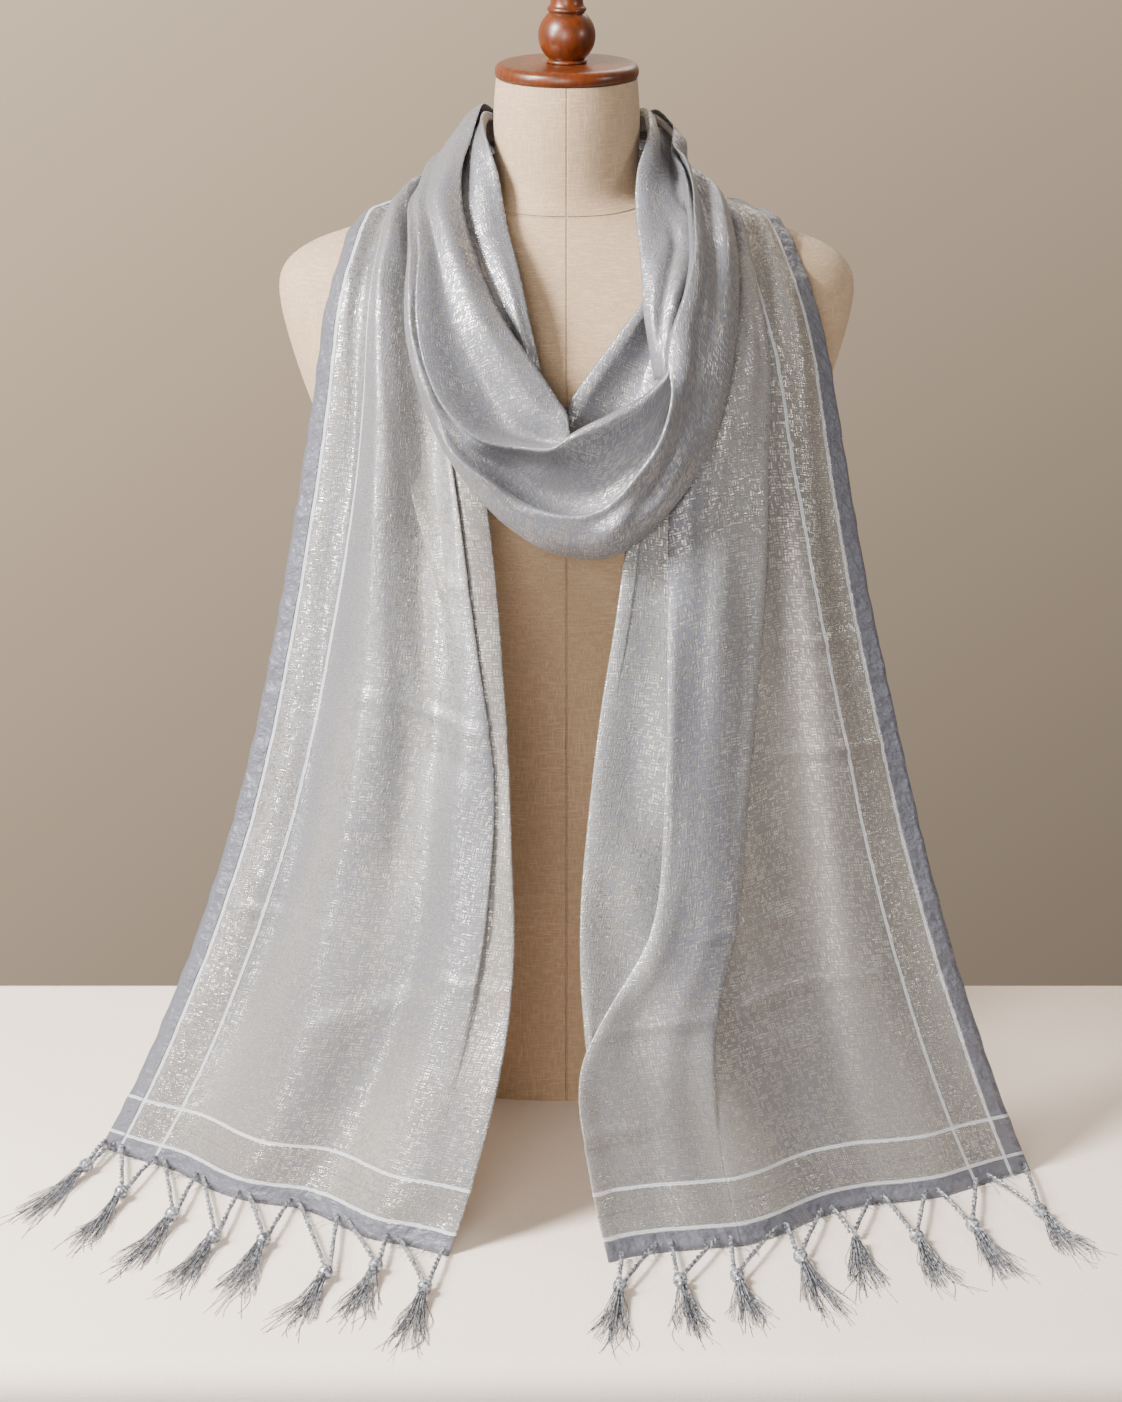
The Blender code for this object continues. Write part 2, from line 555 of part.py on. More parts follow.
def wall(name, middle, look, stands=False):
    """A solid wall of cloth with this grid of points in the middle of its thickness."""
    along = np.gradient(middle, axis=0)
    across = np.gradient(middle, axis=1)
    normal = unit(np.cross(along, across))
    sides = [middle + normal * CLOTH / 2, middle - normal * CLOTH / 2]
    if stands:
        for side in sides:
            side[0, :, 2] = 0.0
    mesh = bmesh.new()
    grids = [[[mesh.verts.new(point) for point in row] for row in side] for side in sides]
    rows, columns = middle.shape[:2]
    for grid in grids:
        for row in range(rows - 1):
            for column in range(columns - 1):
                mesh.faces.new([grid[row][column], grid[row][column + 1], grid[row + 1][column + 1],
                                grid[row + 1][column]])
    front, back = grids
    rim = (
        [(0, column) for column in range(columns - 1)]
        + [(row, columns - 1) for row in range(rows - 1)]
        + [(rows - 1, column) for column in range(columns - 1, 0, -1)]
        + [(row, 0) for row in range(rows - 1, 0, -1)]
    )
    for (row, column), (next_row, next_column) in zip(rim, rim[1:] + rim[:1]):
        mesh.faces.new([front[row][column], front[next_row][next_column], back[next_row][next_column],
                        back[row][column]])
    return add_solid(name, mesh, look)


# The dress form


def oval(row, sides):
    """Points round one level of the form."""
    points = []
    for index in range(sides):
        angle = 2 * math.pi * index / sides
        cosine, sine = math.cos(angle), math.sin(angle)
        depth = row.back if sine > 0 else row.front
        power = 2 / row.blunt
        points.append((
            row.half_width * math.copysign(abs(cosine) ** power, cosine),
            depth * math.copysign(abs(sine) ** power, sine),
            row.z,
        ))
    return points


def loft(name, levels, look):
    """A closed solid through rings of equally many points, with flat ends."""
    mesh = bmesh.new()
    rings = [[mesh.verts.new(point) for point in level] for level in levels]
    for low, high in zip(rings, rings[1:]):
        for index in range(len(low)):
            after = (index + 1) % len(low)
            mesh.faces.new([low[index], low[after], high[after], high[index]])
    mesh.faces.new(rings[0][::-1])
    mesh.faces.new(rings[-1])
    return add_solid(name, mesh, look)


def turned(name, profile, look):
    """A solid turned about the form's upright axis. Its profile starts and ends on the axis."""
    mesh = bmesh.new()
    verts = [mesh.verts.new((radius, 0.0, z)) for radius, z in profile]
    edges = [mesh.edges.new(pair) for pair in zip(verts, verts[1:])]
    bmesh.ops.spin(mesh, geom=verts + edges, cent=(0, 0, 0), axis=(0, 0, 1), angle=2 * math.pi,
                   steps=TURNED_SIDES, use_duplicate=False)
    bmesh.ops.remove_doubles(mesh, verts=mesh.verts, dist=1e-6)
    return add_solid(name, mesh, look)


def finial_profile():
    ball = [
        (FINIAL_BALL_RADIUS * math.cos(math.radians(angle)),
         FINIAL_BALL_Z + FINIAL_BALL_RADIUS * math.sin(math.radians(angle)))
        for angle in range(-44, 60, 20)
    ]
    return FINIAL_FOOT + ball + FINIAL_STEM


def build_form():
    torso = loft("form_torso", [oval(row, FORM_SIDES) for row in FORM], LINEN)
    turned("form_cap", CAP, WOOD)
    turned("form_finial", finial_profile(), WOOD)
    return torso


# The stole


def end_places(rows):
    """Where an end has its sections: closer together over the shoulder, where it bends most."""
    shoulder = SHOULDER_ROW + np.arange(0, 6) / 3
    return np.concatenate([np.arange(0, CHEST_ROW), np.arange(CHEST_ROW, SHOULDER_ROW - 0.25, 0.5), shoulder,
                           np.arange(SHOULDER_ROW + 2, len(rows) - 0.75, 0.5)])


def build_end(name, rows, folds, section_of, wave_rows, below):
    at = end_places(rows)
    frames = Frames(rows, at, stands=True)
    fold_type = type(folds[0])
    fold_values = through(folds, at)
    sections = [section_of(width, fold_type(*values)) for width, values in zip(frames.width, fold_values)]
    across = np.array([section.across for section in sections])
    height = np.array([section.height for section in sections])
    share = across / frames.width[:, None]
    along = (at / at[-1])[:, None]
    bow = through([row.bow for row in rows], at)[:, None] * np.clip(4 * share * (1 - share), 0, 1)
    height = height + bow + waves(wave_rows, share, along)
    middle = lay(frames, across, height, below)
    return wall(name, middle, SILK, stands=True)


def cowl_section(section, width):
    """The cowl's fold lines at one place, as (across, height), from the edge behind the roll inwards."""
    crest, hollow, lip = (np.array(pair) for pair in (section.crest, section.hollow, section.lip))
    tuck = (TUCK_SHARE[0], TUCK_SHARE[1] * crest[1])
    face = hollow * FACE_SHARE + lip * (1 - FACE_SHARE)
    lines = np.array([tuck, (0.0, 0.0), crest * ROLL_SHARE, crest, hollow, face, lip, section.dip,
                      section.swell, section.edge])
    return lines * (width, 1.0)


def build_cowl(below):
    at = np.arange(0, len(COWL) - 0.75, 0.5)
    frames = Frames(COWL, at)
    keys = [section.row for section in COWL_SECTIONS]
    values = np.array([section[1:] for section in COWL_SECTIONS])
    lines = []
    for place, width in zip(at, frames.width):
        step = np.interp(place, keys, range(len(keys)))
        lines.append(cowl_section(Folds(0, *through(values, [step])[0]), width))
    samples = np.linspace(0, len(lines[0]) - 1, COWL_COLUMNS)
    points = np.array([through(line, samples) for line in lines])
    middle = lay(frames, points[..., 0], points[..., 1], below)
    return wall("cowl", middle, SILK)


def build_band(name, rows, gather, below, gap=0.0):
    """A band of gathered cloth, its edges turned behind it, short of its rows by a gap at each end."""
    at = np.linspace(gap, len(rows) - 1 - gap, 2 * len(rows) - 1)
    frames = Frames(rows, at)
    share = np.linspace(0, 1, gather.columns)
    height = gather.swell * np.sin(math.pi * share) ** 0.7
    height += gather.ripple_height * np.sin(2 * math.pi * gather.ripples * share)
    edge, behind = BAND_EDGE
    across = frames.width[:, None] * np.concatenate([[edge], share, [1 - edge]])
    heights = np.tile(np.concatenate([[-behind], height, [-behind]]), (len(at), 1))
    return wall(name, lay(frames, across, heights, below), SILK)


# Tassels


def knot_mesh(middle, along):
    """A knot of twenty faces with a corner towards along."""
    mesh = bmesh.new()
    bmesh.ops.create_icosphere(mesh, subdivisions=1, radius=KNOT_RADIUS)
    mesh.verts.ensure_lookup_table()
    turn = mesh.verts[0].co.rotation_difference(along).to_matrix().to_4x4()
    bmesh.ops.transform(mesh, matrix=Matrix.Translation(middle) @ turn, verts=mesh.verts)
    return mesh


def draw_out(mesh, face, route, radius):
    """Draws a face of the knot out along a route, as a strand of three sides."""
    centre = face.calc_center_median()
    offsets = [(vert.co - centre).normalized() for vert in face.verts]
    for index, point in enumerate(route):
        face = bmesh.ops.extrude_discrete_faces(mesh, faces=[face])["faces"][0]
        size = radius * (ROOT_FLARE if index == 0 else 1.0)
        for vert, offset in zip(face.verts, offsets):
            vert.co = point + offset * size


def strand_route(start, end):
    """From the knot out and down, then level over the floor."""
    route = []
    for part in STRAND_STEPS:
        point = start.lerp(end, part)
        point.z = start.z + (end.z - start.z) * min(1.0, part * STRAND_DROP)
        route.append(point)
    return route


def cord_route(start, end):
    """From the knot up to the hem, with a slight arch."""
    route = [start.lerp(end, part) for part in CORD_STEPS]
    route[1].z += CORD_ARCH
    return route


def build_tassel(name, row, roots):
    """A knot lying on the floor, two cords that reach up to the hem and a fan of strands."""
    middle = Vector((*row.knot, KNOT_HEIGHT))
    reach = Vector((*row.tip, 0)) - Vector((*row.knot, 0))
    along = reach.normalized()
    side = Vector((-along.y, along.x, 0))
    mesh = knot_mesh(middle, along)
    # The knot's faces in rings of five: round its front corner, two in its belt, and round its back corner.
    faces = sorted(mesh.faces, key=lambda face: -(face.calc_center_median() - middle).dot(along))
    front, belt, back = faces[:5], faces[5:10], faces[15:]
    fan = front + [face for face in belt if face.calc_center_median().z > middle.z - KNOT_RADIUS / 5]
    fan.sort(key=lambda face: (face.calc_center_median() - middle).dot(side))
    for index, face in enumerate(fan):
        over = (index + 0.5) / len(fan) * 2 - 1
        shorter = 1 - STRAND_SHORTER * (index * UNEVEN % 1.0)
        end = Vector((*row.knot, 0)) + reach * shorter + side * over * STRAND_SPREAD
        end.z = STRAND_HEIGHTS[index % 2]
        draw_out(mesh, face, strand_route(face.calc_center_median(), end), STRAND_RADIUS)
    for root in roots:
        start = min(back, key=lambda face: (face.calc_center_median() - root).length)
        back.remove(start)
        draw_out(mesh, start, cord_route(start.calc_center_median(), root), CORD_RADIUS)
    return add_solid(name, mesh, TASSEL_SILK)


def build_tassels(side, rows, end_rows, tree):
    """The tassels of one end, each cord's end set close to the front of the cloth."""
    outer, inner = Vector(end_rows[0].outer), Vector(end_rows[0].inner)
    hem = inner - outer
    forward = Vector((hem.y, -hem.x, 0)).normalized() * math.copysign(1, hem.x)
    for index, row in enumerate(rows):
        roots = []
        for share in row.roots:
            before = outer + hem * share + forward * FAR / 4 + Vector((0, 0, HEM_HEIGHT))
            place = tree.ray_cast(before, -forward, FAR)[0]
            roots.append(place + forward * (HEM_GAP + CORD_RADIUS))
        build_tassel(f"{side}_tassel_{index + 1}", row, roots)


def build_stole(torso):
    """Lays each stretch of the stole on the form and on the stretches under it."""
    form = solid_tree(torso)
    left = build_end("left_end", LEFT_END, LEFT_FOLD, left_section, LEFT_WAVES, [form])
    right = build_end("right_end", RIGHT_END, RIGHT_PLEAT, right_section, RIGHT_WAVES, [form])
    ends = [solid_tree(left), solid_tree(right)]
    inner_left = build_band("inner_left", INNER_LEFT, INNER_LEFT_GATHER, [form, *ends])
    inner_right = build_band("inner_right", INNER_RIGHT, INNER_RIGHT_GATHER, [form, *ends])
    under = [form, *ends, solid_tree(inner_left), solid_tree(inner_right)]
    strand = build_band("neck_strand", NECK_STRAND, NECK_STRAND_GATHER, under)
    under.append(solid_tree(strand))
    build_cowl(under)
    build_band("nape", NAPE, NAPE_GATHER, under, gap=NAPE_GAP)
    build_tassels("left", LEFT_TASSELS, LEFT_END, ends[0])
    build_tassels("right", RIGHT_TASSELS, RIGHT_END, ends[1])


def main():
    clear_scene()
    build_stole(build_form())


main()
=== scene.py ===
"""Dresses a fringed silk dupatta stole and the linen form that it is wound on, and sets them on a table.

Metres, +Z up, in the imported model's frame: the origin is the middle of the form's base, +X is the viewer's
right and -Y the front. The cloth follows the same rows and sections as the solids, drawn finer, with its
creases, its woven border and its threads. Run it as a script: it is laid out as an add-on, so that its
sizes and colours show in the sidebar.
"""

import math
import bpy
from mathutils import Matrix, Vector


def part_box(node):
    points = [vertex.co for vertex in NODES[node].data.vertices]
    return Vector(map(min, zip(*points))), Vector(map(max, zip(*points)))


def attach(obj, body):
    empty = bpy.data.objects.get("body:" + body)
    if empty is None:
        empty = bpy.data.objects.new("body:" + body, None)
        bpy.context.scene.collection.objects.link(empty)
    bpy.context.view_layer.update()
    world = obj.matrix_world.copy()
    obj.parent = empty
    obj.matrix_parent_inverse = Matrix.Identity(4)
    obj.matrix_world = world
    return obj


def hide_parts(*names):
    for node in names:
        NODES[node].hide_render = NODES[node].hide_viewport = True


bl_info = {
    "name": "Dupatta stole",
    "version": (1, 0, 0),
    "blender": (4, 5, 0),
    "location": "3D View > Sidebar > Stole",
    "description": "Drapes a fringed silk stole on a linen dress form and sets them on a table",
    "category": "Object",
}

from collections import namedtuple
from contextlib import contextmanager

import bmesh
import bpy
import numpy as np
from bpy.props import FloatProperty, FloatVectorProperty, IntProperty, PointerProperty
from bpy.types import Operator, Panel, PropertyGroup
from mathutils import Vector
from mathutils.bvhtree import BVHTree

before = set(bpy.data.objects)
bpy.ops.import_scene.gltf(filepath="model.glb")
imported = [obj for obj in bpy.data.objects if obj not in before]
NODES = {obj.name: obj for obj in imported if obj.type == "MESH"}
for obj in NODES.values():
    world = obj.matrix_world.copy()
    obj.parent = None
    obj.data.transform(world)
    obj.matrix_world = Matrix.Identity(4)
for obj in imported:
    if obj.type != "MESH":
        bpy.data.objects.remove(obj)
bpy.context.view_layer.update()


# Sizes and colours


def colour(name, description, default):
    return FloatVectorProperty(name=name, description=description, default=default, size=3, subtype="COLOR",
                               min=0, max=1)


def length(name, description, default, low=0.0, high=1.0):
    return FloatProperty(name=name, description=description, default=default, min=low, max=high,
                         subtype="DISTANCE", unit="LENGTH", precision=4)


def count(name, description, default, low, high):
    return IntProperty(name=name, description=description, default=default, min=low, max=high)


def power(name, description, default):
    return FloatProperty(name=name, description=description, default=default, min=0, unit="POWER")


class StoleCloth(PropertyGroup):
    """The silk, its woven border and its threads."""

    thickness: length("Thickness", "Thickness of the silk", 0.0006, 0.0002, 0.002)
    selvedge: length("Selvedge", "Width of the plain edge outside the border", 0.0145, 0, 0.05)
    line: length("White line", "Width of each white line of the border", 0.0024, 0, 0.02)
    band: length("Metal band", "Width of the metal-thread band between the white lines", 0.0285, 0, 0.08)
    ripple: length("Selvedge ripple", "Height of the ripples along the plain edge", 0.0006, 0, 0.004)
    silk: colour("Silk", "Colour of the silk yarn", (0.186, 0.196, 0.240))
    shade: colour("Selvedge colour", "Colour of the plain edge", (0.160, 0.170, 0.215))
    # Painted shade and painted see-through tone: a darker, warmer colour laid where one thin layer hangs
    # free, on the strip behind the left end's fold and on the right end between its outer side and its pleat.
    sheer_shade: colour("Single layer", "Colour where one thin layer hangs free", (0.185, 0.163, 0.142))
    metal: colour("Metal thread", "Colour of the metal threads", (0.680, 0.650, 0.590))
    white: colour("White line colour", "Colour of the border's white lines", (0.720, 0.770, 0.860))


class StoleFringe(PropertyGroup):
    """The knotted tassels along both hems."""

    strands: count("Strands", "Strands in each tassel", 40, 6, 120)
    strand: length("Strand", "Thickness of one strand", 0.0008, 0.0002, 0.002)
    ply: length("Ply", "Thickness of each of a cord's two plies", 0.0019, 0.0005, 0.004)
    pitch: length("Twist", "Length of one full turn of a cord", 0.012, 0.004, 0.05)
    frays: count("Frays", "Loose thread ends along each hem", 190, 0, 600)
    silk: colour("Tassel silk", "Colour of the tassels", (0.240, 0.255, 0.290))


class StoleForm(PropertyGroup):
    """The dress form."""

    linen: colour("Linen", "Colour of the form's cover", (0.640, 0.460, 0.300))
    seam: colour("Seam", "Colour of the cover's seams", (0.330, 0.250, 0.170))
    wood: colour("Wood", "Colour of the turned wood", (0.140, 0.025, 0.001))
    grain: colour("Grain", "Colour of the wood's darker grain", (0.070, 0.016, 0.003))


class StoleStage(PropertyGroup):
    """The table, the lights and the backdrop's colour."""

    table: colour("Table", "Colour of the table's cover", (0.930, 0.825, 0.740))
    backdrop: colour("Backdrop", "Colour of the backdrop where it is lightest", (0.960, 0.735, 0.520))
    dusk: colour("Backdrop's dark side", "Colour of the backdrop low on the right", (0.215, 0.168, 0.128))
    room: colour("Room", "Colour of the dim room in front of the form", (0.150, 0.140, 0.130))
    key: power("Key light", "Power of the soft key light", 130.0)
    sheen: power("Sheen lights", "Power of the low lights at the sides that draw the silk's sheen", 34.0)
    fill: power("Fill light", "Power of the fill light", 54.0)
    rim: power("Back light", "Power of the light from behind", 10.0)


# The stole's rows and sections, the same as the solids'

CLOTH = 0.0012  # thickness of the solids' wall, which the cloth's place is worked out for
SEAM = 0.0011  # clear space between pieces that lie on each other
FOLD_RADIUS = 0.0007  # of a sharp fold, at the middle of the wall
FOLD_STEPS = 3  # flats in a half turn of cloth
SHORTEST_FLAT = 0.0008  # between two turns, where a fold has no cloth under it


def rows_of(kind, rows):
    return [kind(*row) for row in rows]


# A sheet of cloth runs along its rows. outer and inner are the two sides of the band at that row, as seen
# from the front: the side away from the neck and the side towards it.
EndRow = namedtuple("EndRow", "outer inner bow")
LEFT_END = rows_of(EndRow, [
    ((-0.336, -0.177, 0.000), (-0.072, -0.337, 0.000), 0.004),
    ((-0.309, -0.173, 0.050), (-0.055, -0.322, 0.050), 0.004),
    ((-0.278, -0.162, 0.120), (-0.036, -0.296, 0.120), 0.005),
    ((-0.248, -0.146, 0.200), (-0.029, -0.262, 0.200), 0.006),
    ((-0.220, -0.125, 0.300), (-0.031, -0.221, 0.300), 0.008),
    ((-0.199, -0.106, 0.400), (-0.037, -0.179, 0.400), 0.012),
    ((-0.181, -0.087, 0.500), (-0.050, -0.143, 0.500), 0.012),
    ((-0.171, -0.073, 0.560), (-0.064, -0.122, 0.560), 0.010),
    ((-0.158, -0.045, 0.608), (-0.075, -0.092, 0.604), 0.005),
    ((-0.144, -0.004, 0.640), (-0.080, -0.052, 0.638), 0.003),
    ((-0.122, 0.024, 0.650), (-0.076, -0.010, 0.652), 0.002),
    ((-0.104, 0.046, 0.648), (-0.068, 0.020, 0.660), 0.002),
    ((-0.074, 0.066, 0.644), (-0.054, 0.044, 0.668), 0.003),
    ((-0.038, 0.078, 0.650), (-0.031, 0.058, 0.686), 0.003),
    ((-0.003, 0.080, 0.654), (-0.003, 0.062, 0.690), 0.003),
])
RIGHT_END = rows_of(EndRow, [
    ((0.330, -0.213, 0.000), (0.024, -0.342, 0.000), 0.004),
    ((0.309, -0.207, 0.050), (0.012, -0.322, 0.050), 0.004),
    ((0.284, -0.192, 0.120), (0.004, -0.296, 0.120), 0.005),
    ((0.259, -0.171, 0.200), (0.010, -0.262, 0.200), 0.006),
    ((0.234, -0.145, 0.300), (0.018, -0.221, 0.300), 0.008),
    ((0.211, -0.118, 0.400), (0.033, -0.179, 0.400), 0.012),
    ((0.192, -0.092, 0.500), (0.052, -0.143, 0.500), 0.012),
    ((0.182, -0.075, 0.560), (0.074, -0.120, 0.560), 0.010),
    ((0.169, -0.057, 0.602), (0.086, -0.092, 0.603), 0.007),
    ((0.150, -0.008, 0.641), (0.088, -0.052, 0.638), 0.005),
    ((0.126, 0.024, 0.648), (0.078, -0.010, 0.651), 0.002),
    ((0.106, 0.046, 0.646), (0.069, 0.020, 0.660), 0.002),
    ((0.074, 0.066, 0.644), (0.054, 0.044, 0.668), 0.003),
    ((0.038, 0.078, 0.650), (0.031, 0.058, 0.686), 0.003),
    ((0.003, 0.080, 0.654), (0.003, 0.062, 0.690), 0.003),
])
CHEST_ROW = 6  # the row of each end at the top of its straight fall
SHOULDER_ROW = 8  # the row where it starts to turn over the shoulder
STANDS_BELOW = 0.09  # height under which an end's sections are level, so that the hem stands on the floor
LEFT_TURNED_UNDER = 0.016  # width of the edge turned behind the inner side of each end
RIGHT_TURNED_UNDER = 0.008
# The left end's one fold, a row for each row above: set_in is how far its edge stands in from the inner
# side, overlap is how much cloth it takes under, and turn is 1 for a full fold and 0 where it has opened.
FoldRow = namedtuple("FoldRow", "set_in overlap turn")
LEFT_FOLD = rows_of(FoldRow, [
    (0.030, 0.000, 0.00), (0.028, 0.000, 0.00), (0.024, 0.000, 0.10), (0.016, 0.000, 0.60),
    (0.009, 0.008, 1.00), (0.016, 0.022, 1.00), (0.018, 0.030, 1.00), (0.018, 0.016, 1.00),
    (0.016, 0.000, 1.00), (0.014, 0.000, 0.50), (0.012, 0.000, 0.00), (0.010, 0.000, 0.00),
    (0.008, 0.000, 0.00), (0.008, 0.000, 0.00), (0.008, 0.000, 0.00),
])
# The right end's box pleat, a row for each row above. strip_outer and strip_inner are how far in from the
# outer side its two edges lie, as a share of the band's width. under and turn are the left fold's overlap and
# turn, and tail is how far the cloth past the strip goes on beyond the inner side.
PleatRow = namedtuple("PleatRow", "strip_outer strip_inner under turn tail")
RIGHT_PLEAT = rows_of(PleatRow, [
    (0.700, 0.985, 0.000, 0.00, -0.016), (0.690, 0.985, 0.000, 0.00, -0.016),
    (0.670, 0.980, 0.000, 0.30, -0.012), (0.595, 0.825, 0.006, 1.00, 0.000),
    (0.520, 0.792, 0.020, 1.00, 0.000), (0.450, 0.820, 0.030, 1.00, 0.000),
    (0.415, 0.860, 0.034, 1.00, 0.000), (0.440, 0.860, 0.030, 1.00, 0.000),
    (0.520, 0.880, 0.016, 1.00, 0.000), (0.560, 0.880, 0.000, 1.00, 0.000),
    (0.560, 0.860, 0.000, 0.40, 0.000), (0.560, 0.840, 0.000, 0.00, 0.000),
    (0.560, 0.820, 0.000, 0.00, 0.000), (0.560, 0.800, 0.000, 0.00, 0.000),
    (0.560, 0.800, 0.000, 0.00, 0.000),
])
PLEAT_BACK = 0.012  # how much further the strip's inner edge is turned under than its outer one
# Soft waves down each end: where the ridge lies across the hem and across the shoulder, as a share of the
# width, how wide it is, and its height at the hem, at mid length and on the shoulder. A trough is negative.
WaveRow = namedtuple("WaveRow", "at_hem at_top wide hem middle top")
LEFT_WAVES = rows_of(WaveRow, [
    (0.40, 0.62, 0.12, 0.007, 0.017, 0.004), (0.58, 0.80, 0.08, -0.006, -0.006, -0.003),
    (0.78, 0.93, 0.08, 0.006, 0.004, 0.001), (0.21, 0.34, 0.08, -0.004, -0.009, -0.003),
])
RIGHT_WAVES = rows_of(WaveRow, [
    (0.42, 0.22, 0.12, -0.010, -0.008, -0.004), (0.68, 0.60, 0.10, 0.014, 0.006, 0.003),
    (0.22, 0.34, 0.10, 0.006, 0.009, 0.004), (0.80, 0.76, 0.05, 0.003, 0.007, 0.006),
    (0.94, 0.95, 0.05, -0.004, 0.006, 0.003),
])

# The cowl: one loop of cloth from the left of the neck, low round the front, to the right of the neck.
LoopRow = namedtuple("LoopRow", "outer inner")
COWL = rows_of(LoopRow, [
    ((-0.058, 0.062, 0.677), (-0.043, 0.048, 0.695)), ((-0.073, 0.040, 0.673), (-0.049, 0.026, 0.710)),
    ((-0.083, 0.006, 0.660), (-0.057, -0.008, 0.692)), ((-0.093, -0.036, 0.641), (-0.067, -0.050, 0.659)),
    ((-0.098, -0.072, 0.615), (-0.057, -0.094, 0.621)), ((-0.098, -0.098, 0.582), (-0.040, -0.124, 0.593)),
    ((-0.083, -0.120, 0.528), (-0.016, -0.138, 0.561)), ((-0.055, -0.143, 0.480), (0.001, -0.146, 0.536)),
    ((-0.015, -0.153, 0.446), (0.006, -0.152, 0.530)), ((0.028, -0.153, 0.444), (0.024, -0.152, 0.538)),
    ((0.065, -0.148, 0.475), (0.046, -0.150, 0.552)), ((0.091, -0.133, 0.521), (0.058, -0.142, 0.570)),
    ((0.103, -0.108, 0.574), (0.061, -0.130, 0.590)), ((0.104, -0.074, 0.617), (0.072, -0.100, 0.625)),
    ((0.097, -0.034, 0.642), (0.071, -0.048, 0.653)), ((0.083, 0.004, 0.649), (0.054, -0.008, 0.668)),
    ((0.066, 0.038, 0.655), (0.046, 0.024, 0.679)), ((0.054, 0.062, 0.664), (0.041, 0.048, 0.681)),
])
# Its section: each fold line as (share of the width from the outer side, height off it). The roll's crest
# comes first, then the hollow behind it, the inner lip, the dip behind the lip, the last swell and the edge.
# row is the row of COWL where the section has this shape.
Folds = namedtuple("Folds", "row crest hollow lip dip swell edge")
COWL_SECTIONS = rows_of(Folds, [
    (0, (0.24, 0.004), (0.34, 0.005), (0.45, 0.005), (0.60, 0.004), (0.80, 0.003), (1.00, 0.000)),
    (3, (0.14, 0.008), (0.22, 0.010), (0.32, 0.012), (0.52, 0.012), (0.80, 0.010), (1.00, 0.000)),
    (5, (0.10, 0.012), (0.16, 0.016), (0.24, 0.018), (0.48, 0.014), (0.78, 0.012), (1.00, 0.000)),
    (6, (0.10, 0.015), (0.17, 0.018), (0.25, 0.022), (0.44, 0.012), (0.76, 0.010), (1.00, 0.000)),
    (6.5, (0.12, 0.019), (0.20, 0.017), (0.38, 0.024), (0.50, 0.009), (0.78, 0.008), (1.00, 0.000)),
    (7, (0.22, 0.025), (0.25, 0.009), (0.62, 0.024), (0.66, 0.004), (0.82, 0.003), (1.00, 0.000)),
    (8, (0.38, 0.031), (0.30, 0.000), (0.98, 0.018), (0.95, -0.002), (0.91, -0.008), (0.88, -0.009)),
    (9, (0.45, 0.032), (0.31, -0.004), (1.02, 0.015), (0.95, -0.004), (0.84, -0.009), (0.66, -0.008)),
    (10, (0.70, 0.031), (0.40, -0.003), (1.00, 0.010), (0.92, -0.005), (0.78, -0.009), (0.54, -0.008)),
    (11, (1.10, 0.022), (0.58, 0.002), (0.94, 0.006), (0.86, -0.006), (0.68, -0.008), (0.44, -0.007)),
    (12, (1.06, 0.017), (0.58, 0.004), (0.88, 0.002), (0.80, -0.006), (0.60, -0.007), (0.40, -0.006)),
    (14, (0.98, 0.010), (0.50, 0.003), (0.85, 0.000), (0.76, -0.004), (0.58, -0.004), (0.40, -0.004)),
    (15.5, (0.90, 0.003), (0.50, 0.001), (0.84, 0.000), (0.76, -0.003), (0.58, -0.004), (0.40, -0.003)),
    (17, (0.90, 0.003), (0.50, 0.001), (0.84, -0.001), (0.76, -0.004), (0.58, -0.004), (0.40, -0.003)),
])

COWL_COLUMNS = 22  # points across the cowl
# Shares that place the section's other lines: where the outer side rises into the crest, where the hollow
# meets the lip, and where the edge behind the roll lies.
ROLL_SHARE = np.array([0.50, 0.66])
FACE_SHARE = np.array([0.40, 0.80])
TUCK_SHARE = np.array([0.16, -0.30])

# The bands inside the cowl, and the rows that carry the cowl on behind the neck.
INNER_LEFT = rows_of(LoopRow, [
    ((-0.050, 0.060, 0.666), (-0.038, 0.048, 0.696)), ((-0.064, 0.034, 0.674), (-0.052, 0.022, 0.710)),
    ((-0.074, -0.006, 0.672), (-0.053, -0.010, 0.704)), ((-0.080, -0.040, 0.654), (-0.046, -0.038, 0.678)),
    ((-0.078, -0.066, 0.632), (-0.041, -0.058, 0.648)), ((-0.060, -0.092, 0.606), (-0.032, -0.086, 0.619)),
    ((-0.048, -0.108, 0.582), (-0.026, -0.104, 0.594)), ((-0.038, -0.118, 0.552), (-0.018, -0.116, 0.560)),
])
INNER_RIGHT = rows_of(LoopRow, [
    ((0.042, -0.122, 0.494), (-0.008, -0.123, 0.517)), ((0.056, -0.116, 0.524), (0.003, -0.121, 0.542)),
    ((0.066, -0.106, 0.553), (0.024, -0.115, 0.571)), ((0.075, -0.098, 0.579), (0.039, -0.108, 0.590)),
    ((0.077, -0.084, 0.602), (0.052, -0.098, 0.606)), ((0.076, -0.062, 0.622), (0.058, -0.076, 0.626)),
])
NECK_STRAND = rows_of(LoopRow, [
    ((0.048, 0.053, 0.670), (0.038, 0.043, 0.702)), ((0.059, 0.034, 0.672), (0.047, 0.022, 0.711)),
    ((0.068, -0.006, 0.666), (0.049, -0.010, 0.702)), ((0.075, -0.034, 0.652), (0.046, -0.034, 0.681)),
    ((0.084, -0.052, 0.641), (0.046, -0.054, 0.658)), ((0.088, -0.070, 0.627), (0.048, -0.078, 0.636)),
    ((0.078, -0.104, 0.605), (0.052, -0.104, 0.602)), ((0.072, -0.118, 0.581), (0.055, -0.119, 0.579)),
    ((0.068, -0.127, 0.556), (0.059, -0.128, 0.556)),
])
BEHIND_NECK = rows_of(LoopRow, [
    ((0.042, 0.080, 0.656), (0.031, 0.064, 0.686)), ((0.000, 0.089, 0.650), (0.000, 0.067, 0.698)),
    ((-0.043, 0.081, 0.658), (-0.031, 0.064, 0.690)),
])
